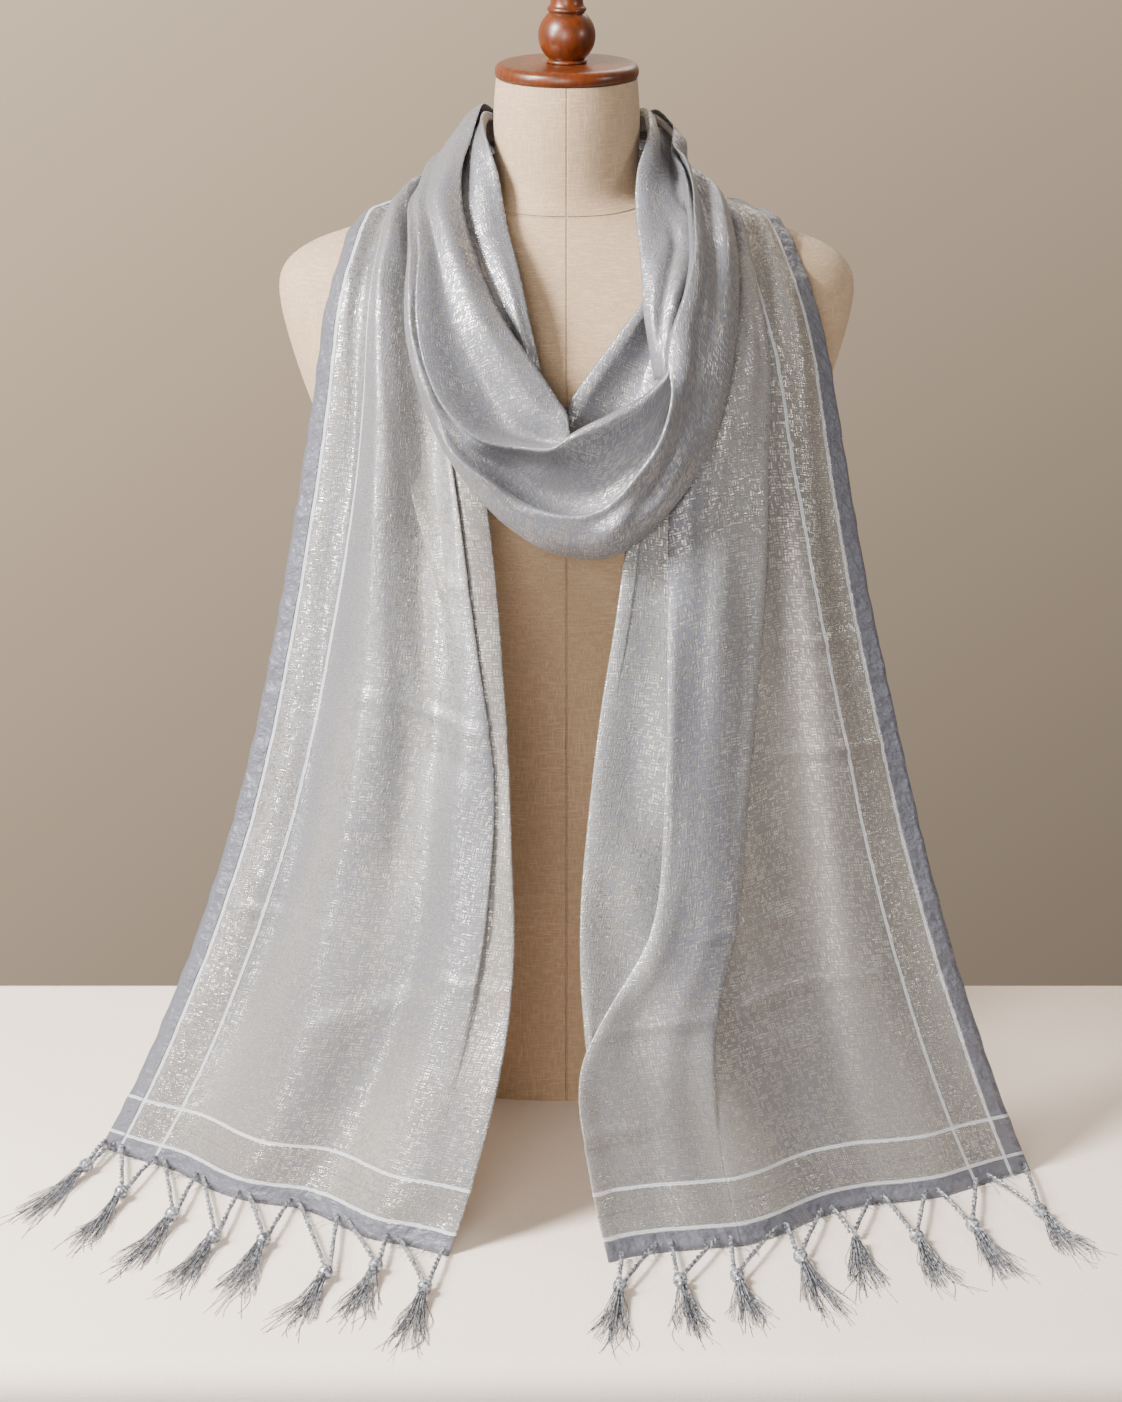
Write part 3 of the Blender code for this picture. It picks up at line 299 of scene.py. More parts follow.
# How each band is gathered: its swell, the count and height of its ripples, and its points across.
Gather = namedtuple("Gather", "swell ripples ripple_height columns")
BAND_EDGE = (0.12, 0.0033)  # a band's turned edges: how far in, as a share of its width, and how far behind

# The tassels on the floor, a row for each: the middle of the knot, the end of the fan, and the two places
# along the hem, as shares of its width from the outer side, that the two cords come from.
TasselRow = namedtuple("TasselRow", "knot tip roots")
LEFT_TASSELS = rows_of(TasselRow, [
    ((-0.341, -0.217), (-0.376, -0.288), (0.010, 0.035)),
    ((-0.311, -0.256), (-0.334, -0.322), (0.060, 0.160)),
    ((-0.272, -0.287), (-0.298, -0.354), (0.185, 0.290)),
    ((-0.240, -0.317), (-0.264, -0.378), (0.310, 0.420)),
    ((-0.206, -0.322), (-0.224, -0.394), (0.440, 0.545)),
    ((-0.161, -0.366), (-0.184, -0.425), (0.565, 0.675)),
    ((-0.128, -0.357), (-0.142, -0.418), (0.700, 0.820)),
    ((-0.094, -0.385), (-0.106, -0.453), (0.850, 0.960)),
])
RIGHT_TASSELS = rows_of(TasselRow, [
    ((0.327, -0.282), (0.352, -0.336), (0.015, 0.110)), ((0.278, -0.302), (0.298, -0.364), (0.140, 0.240)),
    ((0.238, -0.318), (0.256, -0.377), (0.265, 0.360)), ((0.195, -0.316), (0.203, -0.381), (0.385, 0.480)),
    ((0.157, -0.345), (0.176, -0.413), (0.505, 0.600)), ((0.113, -0.370), (0.122, -0.426), (0.625, 0.730)),
    ((0.075, -0.376), (0.082, -0.438), (0.755, 0.850)), ((0.035, -0.384), (0.028, -0.450), (0.880, 0.960)),
])

KNOT_RADIUS = 0.0052
KNOT_HEIGHT = 0.0068  # of the knot's middle above the floor
STRAND_SPREAD = 0.013  # how far the fan's outer strands end to each side
CORD_ARCH = 0.0012  # how far a cord rises in its middle
HEM_HEIGHT = 0.006  # where the cords meet the cloth


# Curves and frames


def spread(values, places, at):
    """A smooth curve through values at these places, evenly spaced or not, read at the places in at."""
    values, at = np.asarray(values, float), np.asarray(at, float)
    start = np.clip(np.searchsorted(places, at, side="right") - 1, 0, len(places) - 2)
    shape = (-1, *([1] * (values.ndim - 1)))
    step = places[start + 1] - places[start]
    part = ((at - places[start]) / step).reshape(shape)
    step = step.reshape(shape)
    slopes = np.gradient(values, places, axis=0)
    return (
        values[start] * (1 + 2 * part) * (1 - part) ** 2
        + values[start + 1] * part**2 * (3 - 2 * part)
        + slopes[start] * step * part * (1 - part) ** 2
        - slopes[start + 1] * step * part**2 * (1 - part)
    )


def through(values, at):
    """A smooth curve through values, one for each whole number, read at the numbers in at."""
    last = len(values) - 1
    return spread(values, np.arange(last + 1.0), np.clip(at, 0, last))


def smooth_step(low, high, at):
    part = np.clip((np.asarray(at, float) - low) / (high - low), 0, 1)
    return part * part * (3 - 2 * part)


def unit(vectors):
    return vectors / np.linalg.norm(vectors, axis=-1, keepdims=True)


def level_across(along):
    """The direction to the left of this one, on the level."""
    return np.array([-along[1], along[0], 0.0])


CORE_BELOW = 0.03  # how far below a band the line lies that it faces away from


class Frames:
    """A band's outer side, width direction, width and outward direction at each place along it."""

    def __init__(self, rows, at, stands=False):
        self.at = at
        self.outer = through([row.outer for row in rows], at)
        inner = through([row.inner for row in rows], at)
        self.width = np.linalg.norm(inner - self.outer, axis=1)
        self.across = unit(inner - self.outer)
        middle = (inner + self.outer) / 2
        along = unit(np.gradient(middle, axis=0))
        out = unit(np.cross(along, self.across))
        # Away from a line inside the chest and the neck.
        core = np.column_stack([middle[:, 0] / 2, np.zeros(len(at)), middle[:, 2] - CORE_BELOW])
        if np.sum(np.sum(out * (middle - core), axis=1)) < 0:
            out = -out
        if stands:
            level = smooth_step(0.0, STANDS_BELOW, middle[:, 2])
            out[:, 2] *= level
            out = unit(out)
        self.out = out

    def place(self, across, height):
        """Points, a row for each frame, from distances across the band and off it."""
        return (
            self.outer[:, None]
            + self.across[:, None] * across[..., None]
            + self.out[:, None] * height[..., None]
        )


# Sections


class Section:
    """A cross-section of cloth, walked from the outer side: straights and turns in (across, height)."""

    def __init__(self):
        self.across, self.height, self.heading = [0.0], [0.0], 0.0

    def straight(self, length, steps):
        length = max(length, SHORTEST_FLAT * steps)
        for _ in range(steps):
            self.across.append(self.across[-1] + length / steps * math.cos(self.heading))
            self.height.append(self.height[-1] + length / steps * math.sin(self.heading))

    def turn(self, share):
        """A turn by this share of half a turn, towards the front if positive, as an arc of fixed length."""
        step = math.pi * share / FOLD_STEPS
        for _ in range(FOLD_STEPS):
            self.heading += step / 2
            self.straight(math.pi * FOLD_RADIUS / FOLD_STEPS, 1)
            self.heading += step / 2


PANEL_FLATS, STRIP_FLATS, TAIL_FLATS, TURNED_FLATS = 9, 6, 3, 2


def left_section(width, fold):
    """The left end's section: the panel, its fold, the strip behind it and the edge turned under."""

    def walk(panel):
        section = Section()
        section.straight(panel, PANEL_FLATS + TAIL_FLATS)
        section.turn(-fold.turn)
        section.straight(fold.overlap, TURNED_FLATS)
        section.turn(fold.turn)
        section.straight(fold.overlap + fold.set_in, TAIL_FLATS)
        section.turn(-1)
        section.straight(LEFT_TURNED_UNDER, TURNED_FLATS)
        return section

    reach = max(walk(0.0).across)
    return walk(width - reach)


def right_section(width, pleat):
    """The right end's section: the panel, the box pleat's strip in front of it, the tail and the edge."""
    outer, inner = pleat.strip_outer * width, pleat.strip_inner * width
    section = Section()
    section.straight(outer + pleat.under * pleat.turn, PANEL_FLATS)
    section.turn(pleat.turn)
    section.straight(pleat.under, TURNED_FLATS)
    section.turn(-pleat.turn)
    section.straight(inner - section.across[-1], STRIP_FLATS)
    section.turn(-1)
    section.straight(pleat.under + PLEAT_BACK, TURNED_FLATS)
    section.turn(1)
    section.straight(width + pleat.tail - section.across[-1], TAIL_FLATS)
    section.turn(-1)
    section.straight(RIGHT_TURNED_UNDER, 1)
    return section


def waves(rows, share, along):
    """The height of the soft waves at a share of the width and of the length from the hem."""
    total = np.zeros_like(share)
    for row in rows:
        centre = row.at_hem + (row.at_top - row.at_hem) * along
        height = through([row.hem, row.middle, row.top], along[:, 0] * 2)[:, None]
        total += height * np.exp(-(((share - centre) / row.wide) ** 2))
    return total


# Cloth that lies on what is under it


def solid_tree(obj):
    mesh = obj.data
    points = [vertex.co.copy() for vertex in mesh.vertices]
    return BVHTree.FromPolygons(points, [list(face.vertices) for face in mesh.polygons])


def soften(field, times):
    """The field averaged with its neighbours, which keeps its size."""
    for _ in range(times):
        padded = np.pad(field, 1, mode="edge")
        beside = padded[:-2, 1:-1] + padded[2:, 1:-1] + padded[1:-1, :-2] + padded[1:-1, 2:]
        field = (field * 2 + beside) / 6
    return field


def highest_near(field, rows, columns):
    """The largest value within this many places each way."""
    padded = np.pad(field, ((rows, rows), (columns, columns)), mode="edge")
    tall, wide = field.shape
    found = field
    for down in range(2 * rows + 1):
        for over in range(2 * columns + 1):
            found = np.maximum(found, padded[down : down + tall, over : over + wide])
    return found


SHARES = 33  # places across a band where its bed is worked out
BEYOND = 0.15  # how far past each side of the band the bed reaches, as a share of the width
CLEAR_BESIDE = 0.005  # how far to the side of what is below the cloth starts to rise
LAYER_BESIDE = 0.006  # and how far to the side of its own under layers
FAR = 0.2  # how far off the band its bed is looked for from
DEEPEST = -1.0  # stands for a place with nothing below
SOFTENED = 2  # times that the bed is averaged


def bed(frames, below, lift):
    """How far the cloth must stand off its band to clear what is below, on an even grid over the band."""
    share = np.linspace(-BEYOND, 1 + BEYOND, SHARES)
    across = frames.width[:, None] * share
    needed = np.full(across.shape, DEEPEST)
    start = frames.place(across, np.full(across.shape, FAR))
    for row in range(len(frames.at)):
        direction = Vector(-frames.out[row])
        for column in range(SHARES):
            origin = Vector(start[row, column])
            for tree in below:
                distance = tree.ray_cast(origin, direction, FAR * 5 / 4)[3]
                if distance is not None:
                    needed[row, column] = max(needed[row, column], FAR - distance)
    cell = np.mean(frames.width) * (1 + 2 * BEYOND) / (SHARES - 1)
    beside = max(1, math.ceil(CLEAR_BESIDE / cell))
    needed = highest_near(needed + CLOTH / 2 + SEAM + lift, 1, beside)
    return share, needed


def layer_lift(frames, across, height):
    """How far each place must rise so that no layer of the section lies below the band."""
    share = np.linspace(-BEYOND, 1 + BEYOND, SHARES)
    lift = np.zeros((len(frames.at), SHARES))
    for row in range(len(frames.at)):
        places = share * frames.width[row]
        for first in range(across.shape[1] - 1):
            low, high = sorted(across[row, first : first + 2])
            depth = -min(height[row, first : first + 2])
            near = (places > low - LAYER_BESIDE) & (places < high + LAYER_BESIDE)
            lift[row, near] = np.maximum(lift[row, near], depth)
    return lift


def read_grid(share, grid, wanted):
    """The grid's values at these shares of the width, row by row."""
    return np.array([np.interp(places, share, values) for places, values in zip(wanted, grid)])


def lay(frames, across, height, below):
    """Points of a sheet's middle: its section, raised clear of what is below and of its own under layers."""
    lift = soften(layer_lift(frames, across, height), SOFTENED)
    share, needed = bed(frames, below, lift)
    base = np.maximum(soften(np.maximum(needed, lift), SOFTENED), needed)
    raised = height + read_grid(share, base, across / frames.width[:, None])
    return frames.place(across, raised)


def end_places(rows):
    """Where an end has its sections: closer together over the shoulder, where it bends most."""
    shoulder = SHOULDER_ROW + np.arange(0, 6) / 3
    return np.concatenate([np.arange(0, CHEST_ROW), np.arange(CHEST_ROW, SHOULDER_ROW - 0.25, 0.5), shoulder,
                           np.arange(SHOULDER_ROW + 2, len(rows) - 0.75, 0.5)])


def end_grid(end, below):
    """An end's points, each with its distance across the section, how open its fold is and the way out."""
    at = end_places(end.rows)
    frames = Frames(end.rows, at, stands=True)
    fold_type = type(end.folds[0])
    folds = [fold_type(*values) for values in through(end.folds, at)]
    sections = [end.section(width, fold) for width, fold in zip(frames.width, folds)]
    across = np.array([section.across for section in sections])
    height = np.array([section.height for section in sections])
    share = across / frames.width[:, None]
    bow = through([row.bow for row in end.rows], at)[:, None] * np.clip(4 * share * (1 - share), 0, 1)
    height = height + bow + waves(end.waves, share, (at / at[-1])[:, None])
    opened = np.array([[1 - fold.turn] for fold in folds])
    out = np.broadcast_to(frames.out[:, None], (*across.shape, 3))
    return np.dstack([lay(frames, across, height, below), across, np.broadcast_to(opened, across.shape), out])


def cowl_section(section, width):
    """The cowl's fold lines at one place, as (across, height), from the edge behind the roll inwards."""
    crest, hollow, lip = (np.array(pair) for pair in (section.crest, section.hollow, section.lip))
    tuck = (TUCK_SHARE[0], TUCK_SHARE[1] * crest[1])
    face = hollow * FACE_SHARE + lip * (1 - FACE_SHARE)
    lines = np.array([tuck, (0.0, 0.0), crest * ROLL_SHARE, crest, hollow, face, lip, section.dip,
                      section.swell, section.edge])
    return lines * (width, 1.0)


def band_grid(rows, gather, below):
    """A band of gathered cloth, its edges turned behind it."""
    at = np.linspace(0, len(rows) - 1, 2 * len(rows) - 1)
    frames = Frames(rows, at)
    share = np.linspace(0, 1, gather.columns)
    height = gather.swell * np.sin(math.pi * share) ** 0.7
    height += gather.ripple_height * np.sin(2 * math.pi * gather.ripples * share)
    edge, behind = BAND_EDGE
    across = frames.width[:, None] * np.concatenate([[edge], share, [1 - edge]])
    heights = np.tile(np.concatenate([[-behind], height, [-behind]]), (len(at), 1))
    return lay(frames, across, heights, below)


# Cloth drawn finer than the solids


LEAST_STEP, HAIR = 1e-5, 1e-9


def finer_places(grid, longest):
    """Distances along the grid's rows, and finer ones with no step longer than this between them."""
    steps = np.maximum(np.linalg.norm(np.diff(grid, axis=0), axis=2).mean(axis=1), LEAST_STEP)
    places = np.concatenate([[0.0], np.cumsum(steps)])
    finer = [np.linspace(low, high, max(2, math.ceil((high - low) / longest)), endpoint=False)
             for low, high in zip(places[:-1], places[1:])]
    return places, np.concatenate([*finer, places[-1:]])


def finer_grid(grid, along, across, spare=0):
    """The sheet's grid without its spare rows, its points no further apart than along and across.

    A point may carry other values after its place.
    """
    places, finer = finer_places(grid[..., :3], along)
    inside = (finer > places[spare] - HAIR) & (finer < places[len(places) - 1 - spare] + HAIR)
    grid = spread(grid, places, finer[inside])
    turned = grid.swapaxes(0, 1)
    return spread(turned, *finer_places(turned[..., :3], across)).swapaxes(0, 1)


def cloth_distances(grid):
    """How far each point is from the sheet's outer side and from its first row, along the cloth."""
    across = np.linalg.norm(np.diff(grid, axis=1), axis=2)
    along = np.linalg.norm(np.diff(grid, axis=0), axis=2)
    u = np.pad(np.cumsum(across, axis=1), ((0, 0), (1, 0)))
    v = np.pad(np.cumsum(along, axis=0), ((1, 0), (0, 0)))
    return u, v


# A crease runs from one place on the cloth to another, each as distances from the outer side and the hem.
# It is a ridge if its height is positive and fades out at both ends.
CreaseRow = namedtuple("CreaseRow", "start end wide height")
FADES_IN, FADES_OUT = (-0.1, 0.3), (0.7, 1.1)  # as shares of a crease's length
LEAN, LEAN_WIDE = 0.7, 1.6  # how much steeper one side of a crease is, and how far that reaches


def creases(rows, u, v):
    total = np.zeros_like(u)
    for row in rows:
        start, end = np.array(row.start), np.array(row.end)
        run = end - start
        part = ((u - start[0]) * run[0] + (v - start[1]) * run[1]) / (run @ run)
        off = ((u - start[0]) * run[1] - (v - start[1]) * run[0]) / np.linalg.norm(run)
        fade = smooth_step(*FADES_IN, part) * (1 - smooth_step(*FADES_OUT, part))
        ridge = np.exp(-((off / row.wide) ** 2))
        lean = off / row.wide * np.exp(-((off / row.wide / LEAN_WIDE) ** 2))
        total += row.height * fade * (ridge + LEAN * lean)
    return total


# Slow unevenness over all the cloth: waves to the metre across and along, their phase and their height.
UNEVENNESS = [(9.0, 1.3, 0.3, 0.0010), (-16.0, 2.1, 1.7, 0.0007), (27.0, 3.4, 2.9, 0.0003),
              (3.0, 7.0, 4.4, 0.0004), (-8.0, 12.0, 5.2, 0.0002)]


def unevenness(u, v):
    return sum(height * np.sin(2 * math.pi * (over * u + down * v) + phase)
               for over, down, phase, height in UNEVENNESS)


EDGE_RIPPLES = [(0.034, 0.0, 1.0), (0.021, 1.3, 0.6)]  # each one's length, phase and share of the height
RIPPLED = (0.004, 0.024)  # how far in from the edge the ripples start to die away, and where they have gone


def edge_ripple(u, v, height):
    """Ripples along the plain edge, which die away inside the border."""
    wave = sum(share * np.sin(2 * math.pi * v / run + phase) for run, phase, share in EDGE_RIPPLES)
    return height * wave * (1 - smooth_step(*RIPPLED, u))


@contextmanager
def edit_mode():
    """Edit mode with all of the mesh selected."""
    bpy.ops.object.mode_set(mode="EDIT")
    bpy.ops.mesh.select_all(action="SELECT")
    yield
    bpy.ops.object.mode_set(mode="OBJECT")


def modify(piece, kind, **settings):
    """Gives the piece a modifier with these settings and applies it."""
    modifier = piece.modifiers.new(kind.capitalize(), kind)
    for name, value in settings.items():
        setattr(modifier, name, value)
    bpy.ops.object.modifier_apply(modifier=modifier.name)


def add_object(name, mesh):
    """A piece with this mesh, selected by itself."""
    piece = bpy.data.objects.new(name, mesh)
    bpy.context.scene.collection.objects.link(piece)
    bpy.ops.object.select_all(action="DESELECT")
    piece.select_set(True)
    bpy.context.view_layer.objects.active = piece
    return piece


JOINED = 0.000002  # points closer than this are one


def cloth_object(name, grid, thickness, material, single=None):
    """A sheet's mesh from its grid, with the cloth's distances as its UV map, given its thickness.

    Rows or columns that meet are joined. single says where the cloth hangs in one free layer, for the silk's
    painted shade and see-through tone there.
    """
    u, v = cloth_distances(grid)
    rows, columns = u.shape
    index = np.arange(rows * columns).reshape(rows, columns)
    faces = np.stack([index[:-1, :-1], index[:-1, 1:], index[1:, 1:], index[1:, :-1]], axis=-1).reshape(-1, 4)
    mesh = bpy.data.meshes.new(name)
    mesh.from_pydata(grid.reshape(-1, 3), [], faces.tolist())
    layer = mesh.uv_layers.new(name="Cloth")
    places = np.stack([u.ravel(), v.ravel()], axis=-1)[faces.ravel()]
    layer.data.foreach_set("uv", places.ravel())
    layers = mesh.attributes.new("Single", "FLOAT", "POINT")
    layers.data.foreach_set("value", np.zeros(u.size) if single is None else single.ravel())
    mesh.materials.append(material)
    piece = add_object(name, mesh)
    with edit_mode():
        bpy.ops.mesh.remove_doubles(threshold=JOINED)
    bpy.ops.object.shade_smooth()
    modify(piece, "SOLIDIFY", thickness=thickness, offset=0.0)
    return piece


# Finishes


class Wire:
    """A value inside a finish, with arithmetic that adds the nodes for it."""

    def __init__(self, finish, socket):
        self.finish, self.socket = finish, socket

    def reckon(self, operation, *values):
        return self.finish.node("Math", {"operation": operation}, dict(enumerate(values)))

    def __add__(self, other):
        return self.reckon("ADD", self, other)

    def __sub__(self, other):
        return self.reckon("SUBTRACT", self, other)

    def __rsub__(self, other):
        return self.reckon("SUBTRACT", other, self)

    def __mul__(self, other):
        return self.reckon("MULTIPLY", self, other)

    def __truediv__(self, other):
        return self.reckon("DIVIDE", self, other)

    __radd__, __rmul__ = __add__, __mul__

    def __abs__(self):
        return self.reckon("ABSOLUTE", self)

    def above(self, other):
        return self.reckon("MAXIMUM", self, other)

    def below(self, other):
        return self.reckon("MINIMUM", self, other)

    def wave(self):
        return self.reckon("SINE", self)

    def rise(self, low, high):
        """0 below low, 1 above high and a smooth step between."""
        return self.finish.node("MapRange", {"interpolation_type": "SMOOTHSTEP"},
                                {"Value": self, "From Min": low, "From Max": high})

    def stripe(self, low, high, soft):
        """1 between low and high, with soft edges."""
        return self.rise(low - soft / 2, low + soft / 2) * (1 - self.rise(high - soft / 2, high + soft / 2))


class Finish:
    """The nodes of a material or a world, round its one shader."""

    def __init__(self, data, shader="Principled BSDF"):
        data.use_nodes = True
        self.data, self.tree = data, data.node_tree
        self.surface = self.tree.nodes[shader]

    def set(self, sockets, values):
        for name, value in values.items():
            socket = sockets[name]
            if isinstance(value, Wire):
                self.tree.links.new(value.socket, socket)
            elif socket.type == "RGBA":
                socket.default_value = (*value, 1.0)
            else:
                socket.default_value = value

    def node(self, kind, settings, values, output=0):
        """One of this node's outputs, its settings set before its sockets."""
        node = self.tree.nodes.new("ShaderNode" + kind)
        for name, value in settings.items():
            setattr(node, name, value)
        self.set(node.inputs, values)
        return Wire(self, node.outputs[output])

    def weave(self, u, v, fine, long, detail=1.0):
        """Threads both ways: each is fine across and long along, in noise cells to the metre."""
        over = self.noise(self.join(u * fine, v * long), 1.0, detail)
        return over.above(self.noise(self.join(u * long, v * fine), 1.0, detail))

    def place(self):
        """The place on the piece, in its own frame."""
        return self.node("TexCoord", {}, {}, 3)

    def split(self, vector):
        return [self.node("SeparateXYZ", {}, {"Vector": vector}, output) for output in range(3)]

    def join(self, x, y, z=0.0):
        return self.node("CombineXYZ", {}, {"X": x, "Y": y, "Z": z})

    def noise(self, place, scale, detail=1.0):
        return self.node("TexNoise", {}, {"Vector": place, "Scale": scale, "Detail": detail})

    def mix(self, share, first, second):
        """The first colour where share is 0 and the second where it is 1."""
        return self.node("Mix", {"data_type": "RGBA"}, {0: share, 6: first, 7: second}, 2)

    def bump(self, height, distance, strength=1.0):
        return self.node("Bump", {}, {"Height": height, "Distance": distance, "Strength": strength})

    def finish(self, **values):
        """Sets the surface's sockets, named as they are with underscores for spaces."""
        self.set(self.surface.inputs, {name.replace("_", " "): value for name, value in values.items()})
        return self.data


def new_finish(name):
    return Finish(bpy.data.materials.new(name))


def times(share, shade):
    """A colour made lighter or darker."""
    return tuple(min(1.0, share * part) for part in shade)


DASH, PITCH = 4.6, 1.9  # length of a metal thread's float and its distance to the next, in mm
DASH_GAP = 0.42  # clear width round each float, in mm
WEAVE_CELL = math.pi / 0.0054  # one patch of floats that run the same way
DRIFT, DRIFT_CELLS = 0.004, (8.0, 25.0)  # how far the rows of floats wander, and in how long swings
RAGGED = 110.0  # noise cells to the metre, of the patches' ragged edges


def floats(silk, first, second, seed):
    """0 to 1, another value for each float of metal thread and 0 between them."""
    place = silk.join(first * 1000.0 + seed, second * 1000.0)
    return silk.node("TexBrick", {"offset": 0.37, "offset_frequency": 1},
                     {"Vector": place, "Color1": (0.0, 0.0, 0.0), "Color2": (1.0, 1.0, 1.0),
                      "Mortar": (0.0, 0.0, 0.0), "Scale": 1.0, "Mortar Size": DASH_GAP, "Mortar Smooth": 0.5,
                      "Brick Width": DASH, "Row Height": PITCH})


def dashes(silk, u, v, seed):
    """1 where a metal thread floats over the weave: short dashes, across and along by turns."""
    slow, quick = DRIFT_CELLS
    across = u + (silk.noise(silk.join(u * slow, v * quick, seed), 1.0) - 0.5) * DRIFT
    along = v + (silk.noise(silk.join(u * quick, v * slow, seed + 3.0), 1.0) - 0.5) * DRIFT
    patch = silk.noise(silk.join(across * RAGGED, along * RAGGED, seed), 1.0) - 0.5
    turns = ((across * WEAVE_CELL).wave() * (along * WEAVE_CELL).wave() + 2.2 * patch).rise(-0.08, 0.08)
    weft, warp = floats(silk, across, along, seed), floats(silk, along, across, seed + 7.0)
    return (weft * turns + warp * (1 - turns)).rise(0.18, 0.60)


def white_line(place, start, width):
    """One line of the border, with a fainter thread down its middle."""
    whole = place.stripe(start, start + width, 0.0008)
    faint = place.stripe(start + width * 0.35, start + width * 0.6, 0.0006)
    return whole * (1 - 0.35 * faint)


RIB = 0.0008  # half the width of the rib down the middle of the metal band
SHARP = 0.001  # how soft the border's edges are


def border_shares(cloth, u, v):
    """Where the bordered cloth is plain edge, white line, metal band and the band's middle rib."""
    first, width = cloth.selvedge, cloth.line
    second = first + width + cloth.band
    middle = (first + width + second) / 2
    inside = [place.rise(first + width / 2, first + width) for place in (u, v)]
    beyond = [1 - place.rise(second, second + width / 2) for place in (u, v)]
    band = inside[0] * inside[1] * beyond[0].above(beyond[1])
    edge = 1 - u.rise(first - SHARP, first).below(v.rise(first - SHARP, first))
    lines = [white_line(place, start, width) for place in (u, v) for start in (first, second)]
    line = lines[0].above(lines[1]).above(lines[2].above(lines[3]))
    ribs = [place.stripe(middle - RIB, middle + RIB, SHARP) for place in (u, v)]
    rib = (ribs[0] * inside[1]).above(ribs[1] * inside[0]) * band
    return edge, line, band, rib


# Noise cells to the metre: of the patches with more and less metal thread, of the long sweeps of light, of
# the yarn across and along a thread, and of the crinkles in the plain edge.
PATCHES, SWEEP, YARN, CRINKLES = 18.0, (11.0, 2.2), (1500.0, 120.0), 130.0
METAL_COVER = 0.68  # how much of the silk's colour a metal thread covers
WEAVE_DEPTH = 0.0011  # of the relief that the weave and the border have


def woven_silk(name, cloth, bordered):
    """Tissue silk: fine yarn with metal threads. A bordered sheet has its edges, white lines and bands."""
    silk = new_finish(name)
    u, v, _ = silk.split(silk.node("UVMap", {"uv_map": "Cloth"}, {}))
    patch = silk.noise(silk.join(u, v), PATCHES, 2.0)
    # Painted highlight: long sweeps of sheen, laid as broad soft bands of more metal thread and of metal
    # colour in the silk.
    sweep = silk.noise(silk.join(u * SWEEP[0], v * SWEEP[1], 7.0), 1.0).rise(0.38, 0.62)
    metal = dashes(silk, u, v, 1.0) * (0.5 + 0.25 * patch.rise(0.36, 0.62) + 0.25 * sweep)
    yarn = silk.weave(u, v, *YARN)
    # Painted shade and painted see-through tone where one thin layer hangs free.
    single = silk.node("Attribute", {"attribute_name": "Single"}, {}, 2)
    base = silk.mix(single * 0.70, cloth.silk, cloth.sheer_shade)
    base = silk.mix(yarn.rise(0.48, 0.72) * 0.35, base, cloth.shade)
    # Painted highlight: the sweeps tint the colour towards the metal's, more on the bordered ends.
    base = silk.mix(sweep * (0.24 if bordered else 0.08), base, cloth.metal)
    if bordered:
        edge, line, band, rib = border_shares(cloth, u, v)
        metal = metal * (1 - band) + dashes(silk, u * 1.2, v * 1.2, 4.0) * band
        metal = metal * (1 - edge) * (1 - line)
        # The metal band takes a little of the painted see-through and shade colour too.
        base = silk.mix(band * 0.15, base, cloth.sheer_shade)
        base = silk.mix(edge, base, times(0.85, cloth.shade))
        base = silk.mix(rib * 0.6, base, cloth.shade)
        base = silk.mix(line * 0.85, base, cloth.white)
    base = silk.mix(metal * METAL_COVER, base, cloth.metal)
    # Painted shade: less shine where one thin layer hangs free, so that it looks darker.
    shine = (0.25 + 0.65 * metal) * (1 - 0.35 * single)
    rough = 0.44 - 0.17 * metal
    height = metal + yarn * 0.35
    if bordered:
        shine = shine * (1 - line * 0.85) * (1 - edge * 0.25)
        crinkle = silk.noise(silk.join(u, v, 5.0), CRINKLES, 2.0)
        height = height + line * 0.6 + edge * crinkle * 3.0
    return silk.finish(Base_Color=base, Metallic=shine, Roughness=rough,
                       Normal=silk.bump(height, WEAVE_DEPTH), Sheen_Weight=0.12, Sheen_Roughness=0.4)


def tassel_silk(name, fringe):
    silk = new_finish(name)
    streak = silk.noise(silk.place(), 420.0, 2.0)
    base = silk.mix(streak.rise(0.35, 0.7), times(0.40, fringe.silk), times(2.1, fringe.silk))
    return silk.finish(Base_Color=base, Metallic=0.5, Roughness=streak * 0.3 + 0.20, Sheen_Weight=0.1,
                       Sheen_Roughness=0.4)


LINEN_YARN, WARP_SLUBS, WEFT_SLUBS = 1500.0, 90.0, 110.0  # noise cells to the metre
SEAM_EDGE = (0.0002, 0.0009)  # how far from a seam's middle its line starts to fade, and where it has gone
NECK_SEAM, NECK_SLOPE = 0.662, 0.2  # height of the neck's seam at the middle, and its rise backwards
PUCKERS = 1300.0  # radians to the metre, of the stitches down the middle seam


